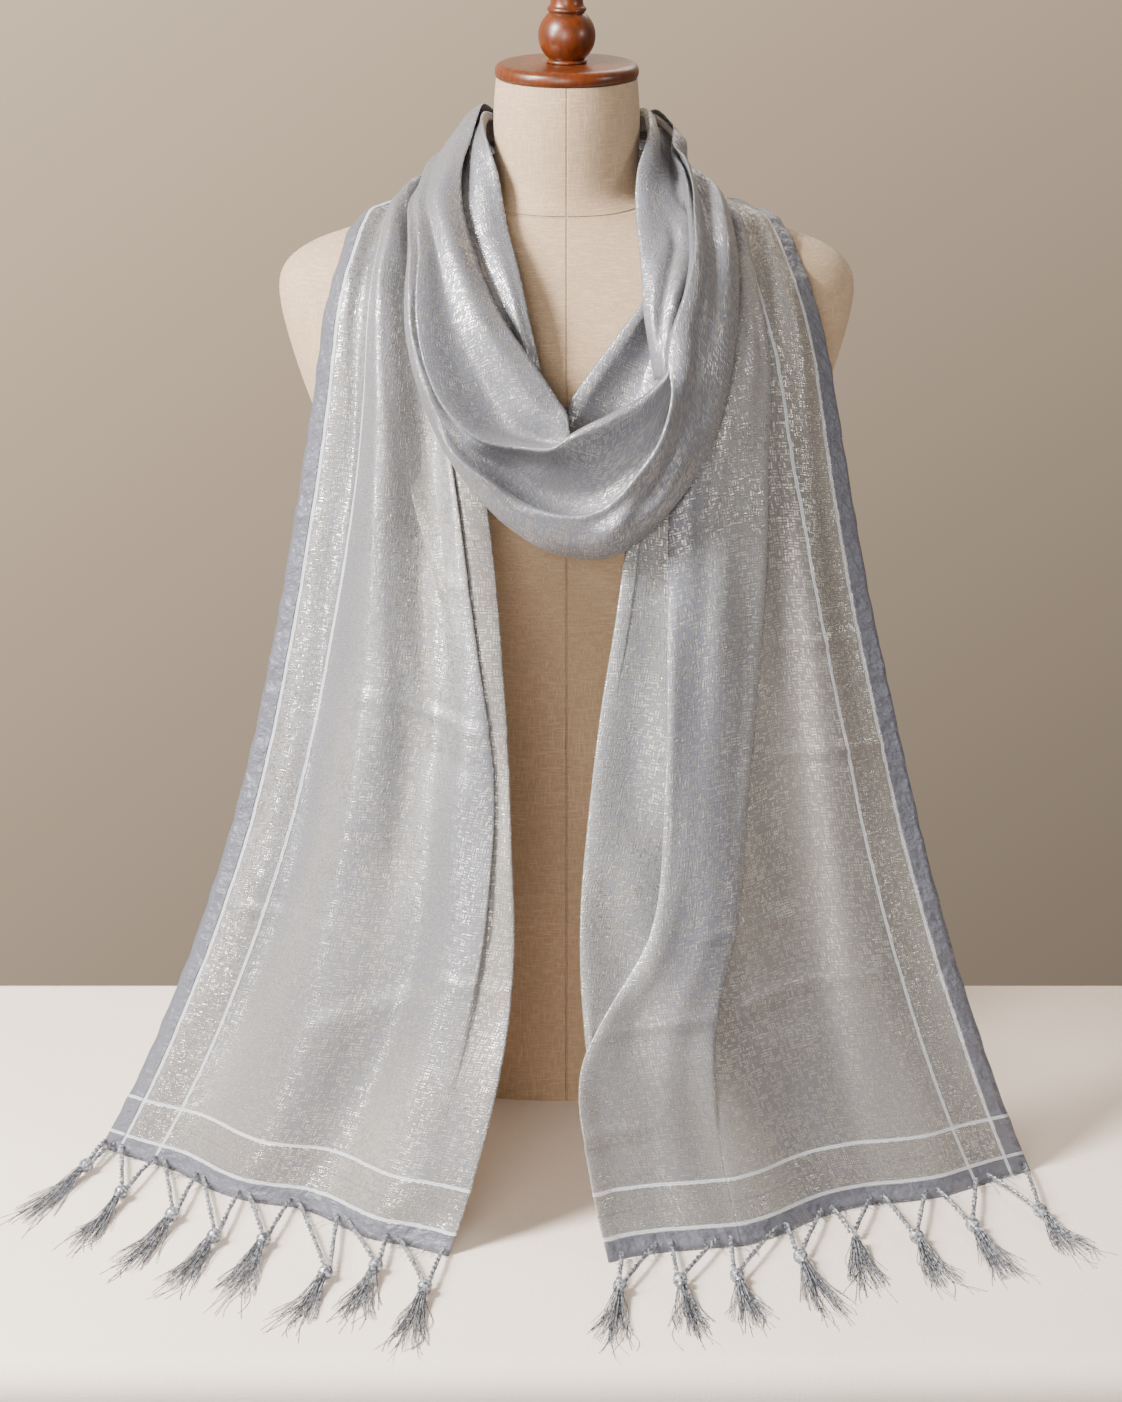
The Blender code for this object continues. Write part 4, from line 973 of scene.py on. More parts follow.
def stitched_linen(name, form):
    """The form's linen cover, with its threads and its seams at the neck and down the middle."""
    linen = new_finish(name)
    place = linen.place()
    x, y, z = linen.split(place)
    upright = linen.noise(linen.join(x * LINEN_YARN, y * LINEN_YARN, z * WARP_SLUBS), 1.0, 2.0)
    level = linen.noise(linen.join(x * WEFT_SLUBS, y * WEFT_SLUBS, z * LINEN_YARN), 1.0, 2.0)
    slub = upright.above(level)
    cloud = linen.noise(place, 14.0, 3.0)
    middle = 1 - abs(x).rise(*SEAM_EDGE)
    neck = 1 - abs(z - y * NECK_SLOPE - NECK_SEAM).rise(*SEAM_EDGE)
    seam = middle.above(neck)
    puckers = (1 - abs(x).rise(0.0005, 0.004)) * (z * PUCKERS).wave()
    base = linen.mix(cloud.rise(0.3, 0.75), times(0.93, form.linen), form.linen)
    base = linen.mix(slub.rise(0.46, 0.70), times(0.70, form.linen), base)
    base = linen.mix(seam * 0.30, base, form.seam)
    height = slub * 0.7 - seam * 1.6 + puckers * 0.1
    return linen.finish(Base_Color=base, Roughness=0.88 - 0.1 * slub, Normal=linen.bump(height, 0.0006),
                        Sheen_Weight=0.15)


GRAIN_CELLS, PORE_CELLS = (260.0, 60.0), (1400.0, 160.0)  # to the metre, across the grain and along it


def polished_wood(name, form):
    """Turned hardwood under a clear polish, its grain running up the piece."""
    wood = new_finish(name)
    place = wood.place()
    x, y, z = wood.split(place)
    warp = wood.noise(place, 30.0, 2.0) * 0.01
    (fine, long), (small, tall) = GRAIN_CELLS, PORE_CELLS
    grain = wood.noise(wood.join((x + warp) * fine, y * fine, (z + warp) * long), 1.0, 3.0)
    pores = wood.noise(wood.join(x * small, y * small, z * tall), 1.0)
    base = wood.mix(grain.rise(0.35, 0.7), form.wood, form.grain)
    base = wood.mix(pores.rise(0.6, 0.75) * 0.5, base, form.grain)
    return wood.finish(Base_Color=base, Roughness=0.30 + 0.15 * grain, Normal=wood.bump(pores, 0.0001, 0.4),
                       Coat_Weight=0.22, Coat_Roughness=0.22)


def table_cloth(name, stage):
    cloth = new_finish(name)
    place = cloth.place()
    x, y, z = cloth.split(place)
    weave = cloth.weave(x, y + z, 900.0, 90.0, 2.0)
    cloud = cloth.noise(place, 6.0, 3.0)
    base = cloth.mix(cloud.rise(0.3, 0.8) * 0.5, stage.table, times(0.9, stage.table))
    base = cloth.mix(weave.rise(0.5, 0.75) * 0.3, base, times(1.1, stage.table))
    return cloth.finish(Base_Color=base, Roughness=0.9, Normal=cloth.bump(weave + cloud, 0.0003))


# Pieces


def finish_piece(piece, slot, *nodes):
    """Says which body the piece rides on and the CAD nodes that it stands for. slot is not used."""
    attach(piece, "root")
    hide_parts(*nodes)
    return piece


def trees(*names):
    return [solid_tree(NODES[name]) for name in names]


ALONG, ACROSS = 0.0045, 0.0030  # the longest steps between the finer points, along and across a sheet
HEM_STILL = 0.03  # how far from the hem the creases start, so that the tassels' cords still meet it
LEFT_CREASES = rows_of(CreaseRow, [
    ((0.075, 0.372), (0.245, 0.348), 0.0032, 0.0013), ((0.120, 0.338), (0.235, 0.330), 0.0060, -0.0006),
    ((0.195, 0.187), (0.270, 0.183), 0.0032, 0.0010), ((0.110, 0.128), (0.200, 0.178), 0.0080, 0.0010),
    ((0.092, 0.462), (0.227, 0.451), 0.0040, 0.0008), ((0.010, 0.204), (0.120, 0.206), 0.0030, 0.0009),
])
RIGHT_CREASES = rows_of(CreaseRow, [
    ((0.285, 0.152), (0.050, 0.164), 0.0034, 0.0014), ((0.240, 0.138), (0.110, 0.136), 0.0060, -0.0008),
    ((0.195, 0.218), (0.095, 0.208), 0.0032, 0.0013), ((0.325, 0.082), (0.255, 0.083), 0.0040, 0.0014),
    ((0.105, 0.395), (-0.010, 0.399), 0.0030, 0.0011), ((0.110, 0.319), (-0.010, 0.324), 0.0030, 0.0013),
    ((0.300, 0.377), (0.250, 0.390), 0.0035, 0.0012),
])
PAST_LAST = 40  # more than a section's columns
# The columns of each end's section where the cloth hangs in one free layer, which the silk paints with shade
# and a see-through tone.
LEFT_SINGLE = range(PANEL_FLATS + TAIL_FLATS + FOLD_STEPS + TURNED_FLATS, PAST_LAST)
RIGHT_SINGLE = range(PANEL_FLATS + 1)


def drape_end(side, end, cloth, material):
    """One end with its creases, which go through all its layers. A fold that has opened is one layer."""
    coarse = end_grid(end, trees("form_torso"))
    opened = coarse[..., 4]
    # The mask for the silk's painted shade and see-through tone: full on the single-layer columns, half all
    # across where the fold has opened.
    single = np.isin(np.arange(coarse.shape[1]), end.single)
    coarse[..., 4] = np.where(single, 1 - 0.5 * opened, 0.5 * opened)
    grid = finer_grid(coarse, ALONG, ACROSS)
    grid, across, single, out = grid[..., :3], grid[..., 3], np.clip(grid[..., 4], 0, 1), unit(grid[..., 5:])
    v = cloth_distances(grid)[1]
    height = creases(end.creases, across, v) + unevenness(across, v) + edge_ripple(across, v, cloth.ripple)
    grid = grid + out * (height * smooth_step(0, HEM_STILL, v))[..., None]
    grid[..., 2] = np.maximum(grid[..., 2], 0.0)
    piece = cloth_object(f"{side}_panel", grid, cloth.thickness, material, single)
    return finish_piece(piece, "silk", f"{side}_end")


LOOP = COWL + BEHIND_NECK  # the cowl goes on behind the neck as one loop
LOOP_SECTIONS = COWL_SECTIONS + [
    Folds(19, (0.66, 0.007), (0.48, 0.004), (0.70, 0.005), (0.80, 0.004), (0.90, 0.003), (1.00, 0.000)),
    COWL_SECTIONS[0]._replace(row=len(LOOP)),
]
SPARE_ROWS = 3  # rows past each end of the loop, so that its last row lies on its first


def loop_grid(below):
    """The cowl and the nape as one closed loop of cloth, with spare rows past each end."""
    rows = LOOP[-SPARE_ROWS:] + LOOP + LOOP[: SPARE_ROWS + 1]
    at = np.arange(0, len(rows) - 0.75, 0.5)
    frames = Frames(rows, at)
    keys = [section.row for section in LOOP_SECTIONS]
    values = np.array([section[1:] for section in LOOP_SECTIONS])
    lines = []
    for place, width in zip((at - SPARE_ROWS) % len(LOOP), frames.width):
        step = np.interp(place, keys, range(len(keys)))
        lines.append(cowl_section(Folds(0, *through(values, [step])[0]), width))
    samples = np.linspace(0, len(lines[0]) - 1, COWL_COLUMNS)
    points = np.array([through(line, samples) for line in lines])
    return lay(frames, points[..., 0], points[..., 1], below)


def drape_loop(cloth, material):
    below = trees("form_torso", "left_end", "right_end", "inner_left", "inner_right", "neck_strand")
    grid = finer_grid(loop_grid(below), ALONG * 0.8, ACROSS * 0.7, 2 * SPARE_ROWS)
    piece = cloth_object("wound_loop", grid, cloth.thickness, material)
    return finish_piece(piece, "silk", "cowl", "nape")


def drape_band(name, node, rows, gather, below, cloth, material):
    grid = finer_grid(band_grid(rows, gather, trees(*below)), ALONG, ACROSS * 0.6)
    piece = cloth_object(name, grid, cloth.thickness, material)
    return finish_piece(piece, "silk", node)


# Tassels


ASKEW = (0.31, 0.17, 0.93)  # a direction that no thread runs in


class Threads:
    """A mesh of round threads, each drawn along its own route."""

    def __init__(self):
        self.points, self.faces = [], []

    def draw(self, route, radius, sides):
        """A closed tube along the route. radius is one number or one for each point."""
        route = np.asarray(route, float)
        radius = np.broadcast_to(radius, len(route))
        along = unit(np.gradient(route, axis=0))
        side = unit(np.cross(along, ASKEW))
        other = np.cross(along, side)
        turn = np.linspace(0, 2 * math.pi, sides, endpoint=False)
        first = len(self.points)
        for place, over, up, size in zip(route, side, other, radius):
            self.points += [place + size * (math.cos(a) * over + math.sin(a) * up) for a in turn]
        for step in range(len(route) - 1):
            low = first + step * sides
            for index in range(sides):
                after = (index + 1) % sides
                self.faces.append((low + index, low + after, low + sides + after, low + sides + index))
        last = first + (len(route) - 1) * sides
        self.faces.append(tuple(range(first + sides - 1, first - 1, -1)))
        self.faces.append(tuple(range(last, last + sides)))

    def piece(self, name, material):
        mesh = bpy.data.meshes.new(name)
        mesh.from_pydata([tuple(point) for point in self.points], [], self.faces)
        mesh.materials.append(material)
        piece = add_object(name, mesh)
        bpy.ops.object.shade_smooth()
        return piece


CORD_POINTS = 30


def twist_cord(threads, start, end, ply, pitch, phase):
    """Two plies twisted round each other from the hem down to the knot."""
    run = end - start
    reach = np.linalg.norm(run)
    part = np.linspace(0, 1, CORD_POINTS)
    middle = start + run * part[:, None]
    middle[:, 2] += CORD_ARCH * 4 * part * (1 - part)
    along = run / reach
    over = unit(np.cross(along, (0, 0, 1)))
    up = np.cross(over, along)
    for ply_index in range(2):
        angle = 2 * math.pi * reach * part / pitch + phase + math.pi * ply_index
        loose = ply * (0.50 + 0.10 * np.sin(5 * part * math.pi + phase))
        offset = np.cos(angle)[:, None] * over + np.sin(angle)[:, None] * up
        threads.draw(middle + offset * loose[:, None], ply / 2, 6)


KNOT_RINGS, KNOT_SIDES, KNOT_WRAPS = 22, 16, 4
KNOT_LENGTH = 0.0098
KNOT_BARREL, KNOT_END = 2.6, 0.06  # how square its barrel is, and how small its ends are
WRAP_DEPTH = 0.06  # of the wraps, as a share of the radius
COLLAR = (0.0026, 0.0042)  # radius and length of the thread wrapped round the fan's neck


def wrap_knot(threads, middle, along):
    """The bead: a short barrel of wrapped thread with a collar at its front."""
    part = np.linspace(-1, 1, KNOT_RINGS)
    shape = np.sqrt(np.clip(1 - np.abs(part) ** KNOT_BARREL, KNOT_END, 1))
    wraps = 1 + WRAP_DEPTH * np.cos(part * math.pi * KNOT_WRAPS)
    route = middle + along * (part * KNOT_LENGTH / 2)[:, None]
    threads.draw(route, KNOT_RADIUS * 0.93 * shape * wraps, KNOT_SIDES)
    radius, reach = COLLAR
    part = np.linspace(0, 1, 13)
    route = middle + along * (KNOT_LENGTH / 2 - 0.001 + part * reach)[:, None]
    threads.draw(route, radius * (1 + 0.10 * np.cos(part * math.pi * 6)), 12)


STRAND_LENGTHS = (0.66, 1.02)  # the shortest and the longest strand, as shares of the fan's length
STRAND_SWAY = 0.0022  # how far strands wander to the side
STRAND_LIFT = 0.0016  # how far their ends lie on each other
LOOSE_STRANDS = 9  # long stray threads in each fan
LOOSE_LENGTHS = (0.95, 1.25)
LOOSE_CURL = 0.004
NECK_REACH = 0.004  # how far in front of the knot's middle the strands start


def fan_out(threads, middle, reach, fringe, random):
    """The strands of one tassel, which fall to the floor and spread."""
    thick = fringe.strand
    length = np.linalg.norm(reach)
    along = reach / length
    side = level_across(along)

    def lay_strand(part, start, far, sideways, height, radius):
        route = middle + along * (start + (far - start) * part)[:, None]
        route = route + side * sideways[:, None]
        route[:, 2] = height
        threads.draw(route, radius, 3)

    part = np.linspace(0, 1, 10)
    for _ in range(fringe.strands):
        over = random.uniform(-1, 1)
        over = 1.05 * (0.85 * over + 0.15 * over**3)
        far = length * random.uniform(*STRAND_LENGTHS) * (1 - 0.12 * over * over)
        end_side = STRAND_SPREAD * 1.12 * over + random.normal(0, 0.0012)
        sway = random.normal(0, STRAND_SWAY) * np.sin(
            part * math.pi * random.uniform(1.0, 2.2) + random.uniform(0, 3)) * part
        start_up = random.uniform(-0.9, 0.9) * COLLAR[0]
        start_side = over * COLLAR[0] * 0.8
        floor = thick * 0.6 + abs(random.normal(0, STRAND_LIFT)) * (1 - abs(over) * 0.5)
        height = middle[2] + start_up + (floor - middle[2] - start_up) * smooth_step(0.0, 0.62, part)
        lay_strand(part, NECK_REACH, far, start_side + (end_side - start_side) * part**1.15 + sway,
                   np.maximum(height, thick * 0.55), thick / 2 * (1 - 0.35 * part))
    part = np.linspace(0, 1, 12)
    for _ in range(LOOSE_STRANDS):
        over = random.uniform(-1.2, 1.2)
        far = length * random.uniform(*LOOSE_LENGTHS)
        curl = random.normal(0, LOOSE_CURL) * np.sin(part * math.pi * random.uniform(1.2, 2.6)) * part
        height = middle[2] * (1 - smooth_step(0.0, 0.5, part))
        lay_strand(part, NECK_REACH + 0.001, far, STRAND_SPREAD * over * part**1.3 + curl,
                   np.maximum(height, thick * 0.4), thick * 0.25)


LOOSE_TASSELS = {"right_tassel_4"}  # gathered without a bead
CORD_APART = 0.0014  # how far each cord meets the knot from its middle
CORD_PROUD = 0.0004  # how far a cord's middle stands off the cloth where it starts
FRAY_SHORT, FRAY_LONG = (0.002, 0.008), (0.010, 0.022)  # lengths of most frays and of the others
FRAY_SUNK = 0.0008  # how far a fray starts inside the hem


class Hem:
    """An end's hem on the floor, and the front of its cloth above it."""

    def __init__(self, side):
        first = ENDS[side].rows[0]
        self.outer, inner = np.array(first.outer), np.array(first.inner)
        self.run = inner - self.outer
        self.along = unit(self.run)
        self.forward = level_across(self.along) * -math.copysign(1, self.run[0])
        self.tree = solid_tree(NODES[f"{side}_end"])

    def front(self, share, height):
        """The place on the cloth's front at this share of the hem, or None beside it."""
        before = self.outer + self.run * share + self.forward * FAR / 4 + (0, 0, height)
        found = self.tree.ray_cast(Vector(before), Vector(-self.forward), FAR)[0]
        return None if found is None else np.array(found)


def tie_tassels(side, fringe, material, random):
    """Each tassel of one end, its cords set against the front of the cloth."""
    hem = Hem(side)
    pieces = []
    for index, row in enumerate(ENDS[side].tassels):
        name = f"{side}_tassel_{index + 1}"
        threads = Threads()
        middle = np.array((*row.knot, KNOT_HEIGHT))
        reach = np.array((*row.tip, 0.0)) - np.array((*row.knot, 0.0))
        along = unit(reach)
        across = level_across(along)
        back = middle - along * KNOT_LENGTH * 0.38
        roots = sorted((hem.front(share, HEM_HEIGHT) for share in row.roots),
                       key=lambda root: float((root - middle) @ across))
        for place, root in zip((-CORD_APART, CORD_APART), roots):
            twist_cord(threads, root + hem.forward * CORD_PROUD, back + across * place, fringe.ply,
                       fringe.pitch, random.uniform(0, 6))
        if name not in LOOSE_TASSELS:
            wrap_knot(threads, middle, along)
        fan_out(threads, middle, reach, fringe, random)
        piece = threads.piece(f"{side}_fringe_{index + 1}", material)
        pieces.append(finish_piece(piece, "tassel_silk", name))
    return pieces


def fray_hem(side, fringe, material, random):
    """Short thread ends that stand out of the hem's cut edge."""
    hem = Hem(side)
    threads = Threads()
    part = np.linspace(0, 1, 5)
    for _ in range(fringe.frays):
        root = hem.front(random.uniform(0.005, 0.985), random.uniform(0.0006, 0.0022))
        if root is None:
            continue
        reach = random.uniform(*FRAY_SHORT) if random.uniform(0, 1) < 0.85 else random.uniform(*FRAY_LONG)
        turn = random.normal(0, 0.5)
        way = hem.forward * math.cos(turn) + hem.along * math.sin(turn)
        route = root - hem.forward * FRAY_SUNK + way * (reach * part)[:, None]
        route[:, 2] += reach * 0.25 * part * random.uniform(-0.2, 1.0)
        route += hem.along * (random.normal(0, 0.12) * reach * part**2)[:, None]
        route[:, 2] = np.maximum(route[:, 2], 0.0002)
        threads.draw(route, fringe.strand * 0.22, 3)
    return finish_piece(threads.piece(f"{side}_frays", material), "silk")


# The form and the stage


def edit_shape(mesh, change, *values):
    shape = bmesh.new()
    shape.from_mesh(mesh)
    change(shape, *values)
    shape.to_mesh(mesh)
    shape.free()


FLAT_WITHIN = 0.0005  # height within which a face is part of the flat foot or top
FORM_JOINED = 0.00001  # points of the form closer than this are one
FORM_EDGE, WOOD_EDGE = math.radians(40), math.radians(42)  # the angle from which an edge stays sharp


def open_ends(shape, low, high):
    """Takes the flat faces off the foot and the top, so that their rims stay round when they are smoothed."""
    flat = [face for face in shape.faces
            if all(vert.co.z < low + FLAT_WITHIN for vert in face.verts)
            or all(vert.co.z > high - FLAT_WITHIN for vert in face.verts)]
    bmesh.ops.delete(shape, geom=flat, context="FACES")


def close_ends(shape):
    bmesh.ops.holes_fill(shape, edges=[edge for edge in shape.edges if edge.is_boundary], sides=0)


def cover_form(form):
    """The form's cover: the solid's own mesh, joined and smoothed, with the linen's seams."""
    mesh = NODES["form_torso"].data.copy()
    mesh.materials.clear()
    mesh.materials.append(stitched_linen("stitched_linen", form))
    piece = add_object("form_cover", mesh)
    with edit_mode():
        bpy.ops.mesh.remove_doubles(threshold=FORM_JOINED)
        bpy.ops.mesh.tris_convert_to_quads(face_threshold=math.radians(50), shape_threshold=math.radians(60))
        bpy.ops.mesh.normals_make_consistent(inside=False)
    low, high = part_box("form_torso")
    edit_shape(mesh, open_ends, low[2], high[2])
    modify(piece, "SUBSURF", levels=2, render_levels=2)
    edit_shape(mesh, close_ends)
    bpy.ops.object.shade_smooth_by_angle(angle=FORM_EDGE)
    return finish_piece(piece, "linen", "form_torso")


def turn_wood(name, profile, sides, material, node):
    """A turned piece: a disc drawn up ring by ring to each (radius, height)."""
    bpy.ops.object.select_all(action="DESELECT")
    (first, low), *rest = profile
    bpy.ops.mesh.primitive_circle_add(vertices=sides, radius=first, fill_type="NGON", location=(0, 0, low))
    piece = bpy.context.object
    piece.name = piece.data.name = name
    bpy.ops.object.transform_apply(location=True, rotation=True, scale=True)
    with edit_mode():
        radius, height = first, low
        for wide, high in rest:
            bpy.ops.mesh.extrude_region_move(TRANSFORM_OT_translate={"value": (0, 0, high - height)})
            scale = wide / radius
            bpy.ops.transform.resize(value=(scale, scale, 1), center_override=(0, 0, high))
            radius, height = wide, high
        bpy.ops.mesh.select_all(action="SELECT")
        bpy.ops.mesh.normals_make_consistent(inside=False)
    bpy.ops.object.shade_smooth_by_angle(angle=WOOD_EDGE)
    piece.data.materials.append(material)
    return finish_piece(piece, "wood", node)


# Turned profiles as (radius, height), from the bottom up.
CAP_PROFILE = [
    (0.0470, 0.7400), (0.0484, 0.7402), (0.0494, 0.7408), (0.0500, 0.7418), (0.0502, 0.7432),
    (0.0502, 0.7446), (0.0500, 0.7460), (0.0495, 0.7473), (0.0486, 0.7484), (0.0474, 0.7492),
    (0.0458, 0.7498), (0.0440, 0.7500), (0.0150, 0.7500),
]
BALL_MIDDLE, BALL_RADIUS = 0.7685, 0.0200
BALL_RINGS = 22
BALL_REACH = 0.90  # how far up and down the ball its rings go, as an angle from its middle
RING_APART = 0.0002  # the least height between two rings
FINIAL_FOOT = [
    (0.0134, 0.7501), (0.0141, 0.7505), (0.0143, 0.7512), (0.0141, 0.7519), (0.0137, 0.7523),
]
FINIAL_STEM = [
    (0.0124, 0.7846), (0.0127, 0.7850), (0.0134, 0.7856), (0.0137, 0.7866), (0.0134, 0.7876),
    (0.0124, 0.7886), (0.0118, 0.7892), (0.0113, 0.7915), (0.0111, 0.7950), (0.0114, 0.7990),
    (0.0120, 0.8020), (0.0122, 0.8036), (0.0119, 0.8054), (0.0108, 0.8074), (0.0092, 0.8088),
    (0.0060, 0.8098), (0.0020, 0.8100),
]


def finial_rings():
    """The foot, the ball and the stem as one profile."""
    angles = np.linspace(-BALL_REACH, BALL_REACH, BALL_RINGS)
    ball = [(BALL_RADIUS * math.cos(angle), BALL_MIDDLE + BALL_RADIUS * math.sin(angle)) for angle in angles]
    low, high = FINIAL_FOOT[-1][1] + RING_APART, FINIAL_STEM[0][1] - RING_APART
    return FINIAL_FOOT + [ring for ring in ball if low < ring[1] < high] + FINIAL_STEM


TABLE_BACK, TABLE_FRONT = 0.114, -0.475
TABLE_WIDTH, TABLE_DEPTH = 3.2, 0.60
TABLE_EDGE = 0.022  # how round the table's front edge is
CAMERA_PLACE = (-0.004, -2.238, 1.093)
CAMERA_PITCH = 70.0  # degrees up from straight down
CAMERA_LENS = 82.17


def lay_table(stage):
    """The covered table, its edges rounded."""
    bpy.ops.object.select_all(action="DESELECT")
    depth = TABLE_BACK - TABLE_FRONT
    bpy.ops.mesh.primitive_cube_add(size=1, location=(0, TABLE_FRONT + depth / 2, -TABLE_DEPTH / 2))
    table = bpy.context.object
    table.name = "table"
    table.scale = (TABLE_WIDTH, depth, TABLE_DEPTH)
    bpy.ops.object.transform_apply(location=True, rotation=True, scale=True)
    modify(table, "BEVEL", width=TABLE_EDGE, segments=6, limit_method="ANGLE")
    bpy.ops.object.shade_smooth_by_angle(angle=FORM_EDGE)
    table.data.materials.append(table_cloth("table_cloth", stage))


# The round lights: each one's place, size, the stage's power that it takes a share of, its aim and its tint.
LightRow = namedtuple("LightRow", "name place size power share aim tint")
LIGHTS = rows_of(LightRow, [
    ("key", (-1.4, -0.85, 1.75), 0.6, "key", 1.0, (0.0, -0.15, 0.25), (1.0, 0.955, 0.90)),
    ("left_sheen", (-1.7, -1.0, 1.15), 0.45, "sheen", 1.0, (-0.1, -0.2, 0.25), (1.0, 0.97, 0.92)),
    ("right_sheen", (1.8, -0.9, 1.15), 0.5, "sheen", 0.25, (0.1, -0.2, 0.3), (1.0, 0.97, 0.93)),
    ("fill", (-0.6, -2.9, 1.15), 1.5, "fill", 1.0, (0.0, -0.1, 0.35), (1.0, 0.92, 0.83)),
    ("back", (0.5, 1.4, 1.7), 1.0, "rim", 1.0, (0.0, 0.0, 0.55), (1.0, 0.98, 0.95)),
])


def hang_light(row, stage):
    lamp = bpy.data.lights.new(row.name, "AREA")
    lamp.shape, lamp.size, lamp.color = "DISK", row.size, row.tint
    lamp.energy = getattr(stage, row.power) * row.share
    light = bpy.data.objects.new(row.name, lamp)
    light.location = row.place
    light.rotation_euler = (Vector(row.aim) - Vector(row.place)).to_track_quat("-Z", "Y").to_euler()
    bpy.context.scene.collection.objects.link(light)


def set_camera():
    camera = bpy.data.objects.new("camera", bpy.data.cameras.new("camera"))
    camera.data.lens, camera.data.sensor_width = CAMERA_LENS, 36.0
    camera.location = CAMERA_PLACE
    camera.rotation_euler = (math.radians(CAMERA_PITCH), 0, 0)
    bpy.context.scene.collection.objects.link(camera)
    bpy.context.scene.camera = camera


# How the backdrop's light falls off: its slopes to the right and up, the height and the level that they are
# measured from, and the span from dark to light.
GLOW = (1.6, 2.42, 0.295, 0.15, 1.3)


def set_backdrop(stage):
    """A plain backdrop, lighter up on the left, in a room that is dim on the other sides."""
    world = bpy.data.worlds.new("backdrop")
    bpy.context.scene.world = world
    glow = Finish(world, "Background")
    x, y, z = glow.split(glow.node("TexCoord", {}, {}, 0))
    across, up, level, least, span = GLOW
    share = ((0.5 - across * x + up * (z + level) + least) / span).above(0.0).below(1.0)
    wall = glow.mix(share * (0.45 + 0.55 * share), stage.dusk, stage.backdrop)
    glow.finish(Color=glow.mix(y.rise(-0.3, 0.6), stage.room, wall))


# Operators


SEED = 7  # of the unevenness of the tassels and the frays
# Each end, with its sheet's flat size: how wide the cloth of that stretch is and how long.
End = namedtuple("End", "rows folds section waves creases single flat tassels")
ENDS = {
    "left": End(LEFT_END, LEFT_FOLD, left_section, LEFT_WAVES, LEFT_CREASES, LEFT_SINGLE,
                (0.29, 0.91), LEFT_TASSELS),
    "right": End(RIGHT_END, RIGHT_PLEAT, right_section, RIGHT_WAVES, RIGHT_CREASES, RIGHT_SINGLE,
                 (0.38, 0.91), RIGHT_TASSELS),
}
UNDER = ("form_torso", "left_end", "right_end")
# The bands inside the cowl: the piece, its node, its rows, its gathers, what it lies on and its flat size.
BANDS = [
    ("left_fold", "inner_left", INNER_LEFT, Gather(0.005, 2.0, 0.0012, 8), UNDER, (0.052, 0.26)),
    ("right_fold", "inner_right", INNER_RIGHT, Gather(0.003, 1.5, 0.0010, 8), UNDER, (0.08, 0.16)),
    ("neck_fold", "neck_strand", NECK_STRAND, Gather(0.008, 1.0, 0.0008, 8),
     (*UNDER, "inner_left", "inner_right"), (0.06, 0.28)),
]


def plain_silk(cloth):
    return bpy.data.materials.get("plain_silk") or woven_silk("plain_silk", cloth, False)


class STOLE_OT_cover_form(Operator):
    """Covers the dress form in linen"""

    bl_idname = "stole.cover_form"
    bl_label = "Cover the form"

    def execute(self, context):
        cover_form(context.scene.stole_form)
        return {"FINISHED"}


class STOLE_OT_turn_wood(Operator):
    """Turns the form's wooden cap and finial"""

    bl_idname = "stole.turn_wood"
    bl_label = "Turn the cap and finial"

    def execute(self, context):
        wood = polished_wood("polished_wood", context.scene.stole_form)
        turn_wood("cap", CAP_PROFILE, 96, wood, "form_cap")
        turn_wood("finial", finial_rings(), 64, wood, "form_finial")
        return {"FINISHED"}


class STOLE_OT_drape_ends(Operator):
    """Drapes the two long ends down the front, with their folds, waves and creases"""

    bl_idname = "stole.drape_ends"
    bl_label = "Drape the ends"

    def execute(self, context):
        cloth = context.scene.stole_cloth
        bordered = woven_silk("bordered_silk", cloth, True)
        for side, end in ENDS.items():
            drape_end(side, end, cloth, bordered)
        return {"FINISHED"}


class STOLE_OT_tie_tassels(Operator):
    """Ties the tassels along both hems and frays the hems between them"""

    bl_idname = "stole.tie_tassels"
    bl_label = "Tie the tassels"

    def execute(self, context):
        fringe = context.scene.stole_fringe
        silk = tassel_silk("tassel_silk", fringe)
        random = np.random.default_rng(SEED)
        for side, end in ENDS.items():
            tassels = tie_tassels(side, fringe, silk, random)
            frays = fray_hem(side, fringe, silk, random)
        return {"FINISHED"}


class STOLE_OT_drape_cowl(Operator):
    """Drapes the cowl and the cloth that carries it on behind the neck"""

    bl_idname = "stole.drape_cowl"
    bl_label = "Drape the cowl"

    def execute(self, context):
        cloth = context.scene.stole_cloth
        drape_loop(cloth, plain_silk(cloth))
        return {"FINISHED"}


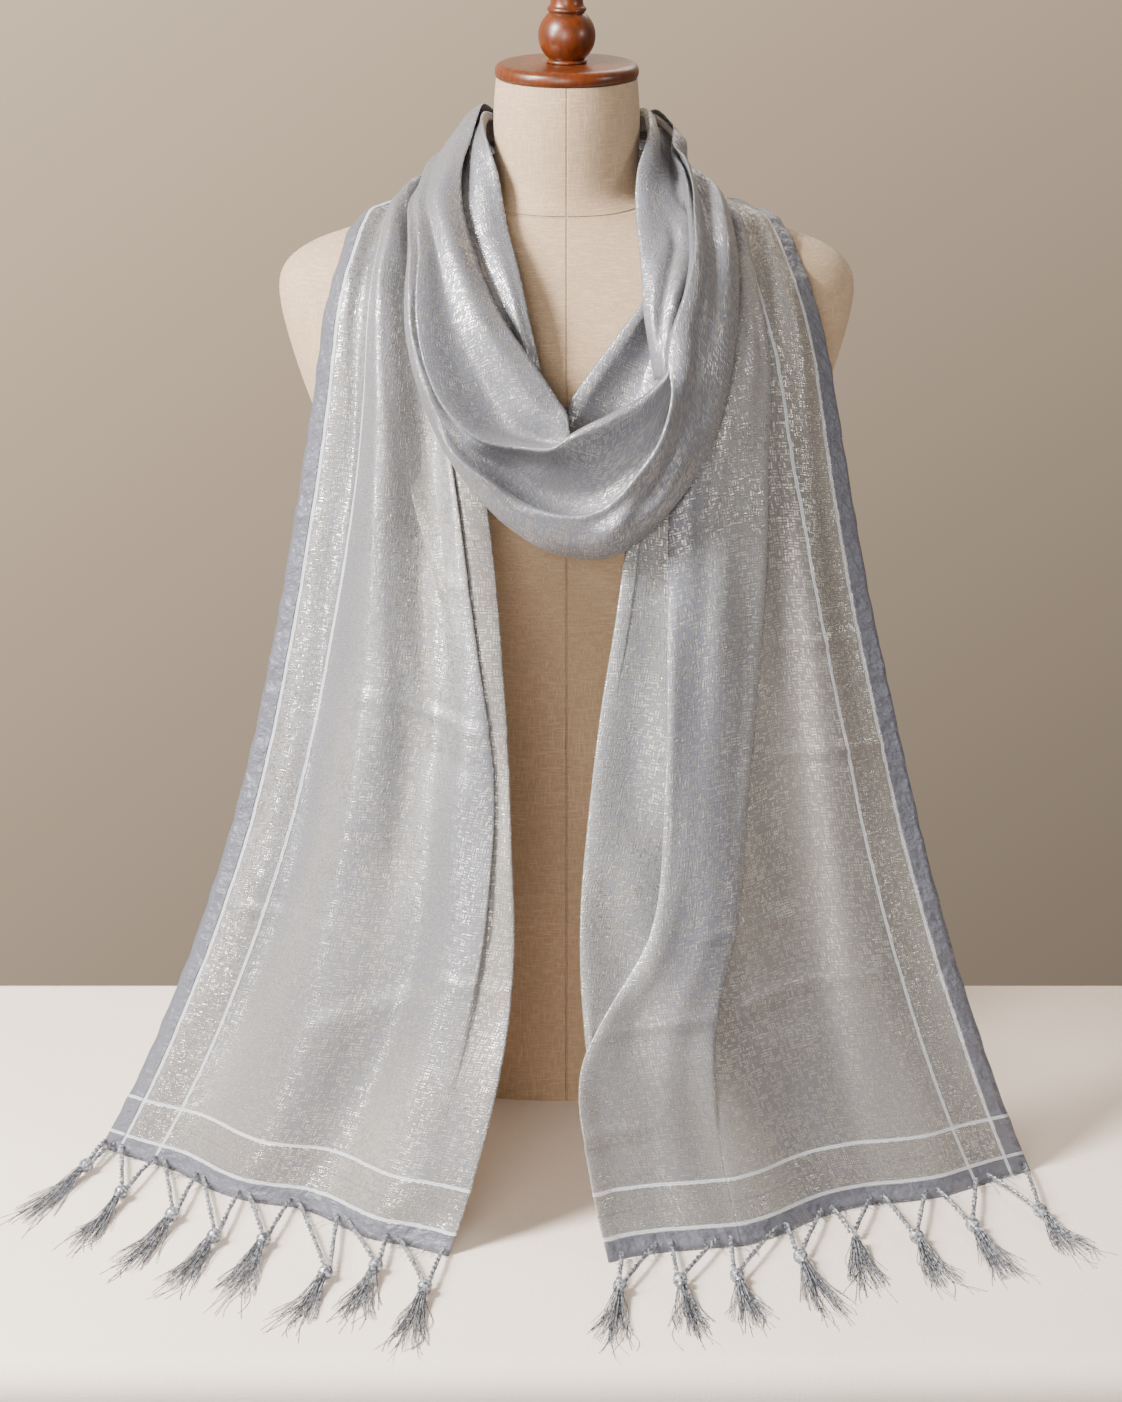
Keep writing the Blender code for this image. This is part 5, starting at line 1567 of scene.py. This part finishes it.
class STOLE_OT_drape_folds(Operator):
    """Drapes the folds of cloth that show inside the cowl"""

    bl_idname = "stole.drape_folds"
    bl_label = "Drape the inner folds"

    def execute(self, context):
        cloth = context.scene.stole_cloth
        for name, node, rows, gather, below, flat in BANDS:
            piece = drape_band(name, node, rows, gather, below, cloth, plain_silk(cloth))
        return {"FINISHED"}


class STOLE_OT_set_stage(Operator):
    """Sets the table, the backdrop, the lights and the camera"""

    bl_idname = "stole.set_stage"
    bl_label = "Set the stage"

    def execute(self, context):
        stage = context.scene.stole_stage
        lay_table(stage)
        set_backdrop(stage)
        for row in LIGHTS:
            hang_light(row, stage)
        set_camera()
        return {"FINISHED"}


class STOLE_PT_panel(Panel):
    """The steps, with the sizes and colours that each one takes"""

    bl_idname = "STOLE_PT_panel"
    bl_label = "Dupatta stole"
    bl_space_type = "VIEW_3D"
    bl_region_type = "UI"
    bl_category = "Stole"

    def draw(self, context):
        for step, names in STEPS:
            self.layout.operator(step.bl_idname)
            for name in names:
                group = getattr(context.scene, name)
                for key in group.bl_rna.properties.keys():
                    if key not in ("rna_type", "name"):
                        self.layout.prop(group, key)


GROUPS = {"stole_cloth": StoleCloth, "stole_fringe": StoleFringe, "stole_form": StoleForm,
          "stole_stage": StoleStage}
STEPS = [
    (STOLE_OT_cover_form, ["stole_form"]),
    (STOLE_OT_turn_wood, []),
    (STOLE_OT_drape_ends, ["stole_cloth"]),
    (STOLE_OT_tie_tassels, ["stole_fringe"]),
    (STOLE_OT_drape_cowl, []),
    (STOLE_OT_drape_folds, []),
    (STOLE_OT_set_stage, ["stole_stage"]),
]
CLASSES = [*GROUPS.values(), *(step for step, _ in STEPS), STOLE_PT_panel]


def register():
    for item in CLASSES:
        bpy.utils.register_class(item)
    for name, group in GROUPS.items():
        setattr(bpy.types.Scene, name, PointerProperty(type=group))


def unregister():
    for name in GROUPS:
        delattr(bpy.types.Scene, name)
    for item in reversed(CLASSES):
        bpy.utils.unregister_class(item)


def main():
    register()
    bpy.ops.stole.cover_form()
    bpy.ops.stole.turn_wood()
    bpy.ops.stole.drape_ends()
    bpy.ops.stole.tie_tassels()
    bpy.ops.stole.drape_cowl()
    bpy.ops.stole.drape_folds()
    bpy.ops.stole.set_stage()


if __name__ == "__main__":
    main()
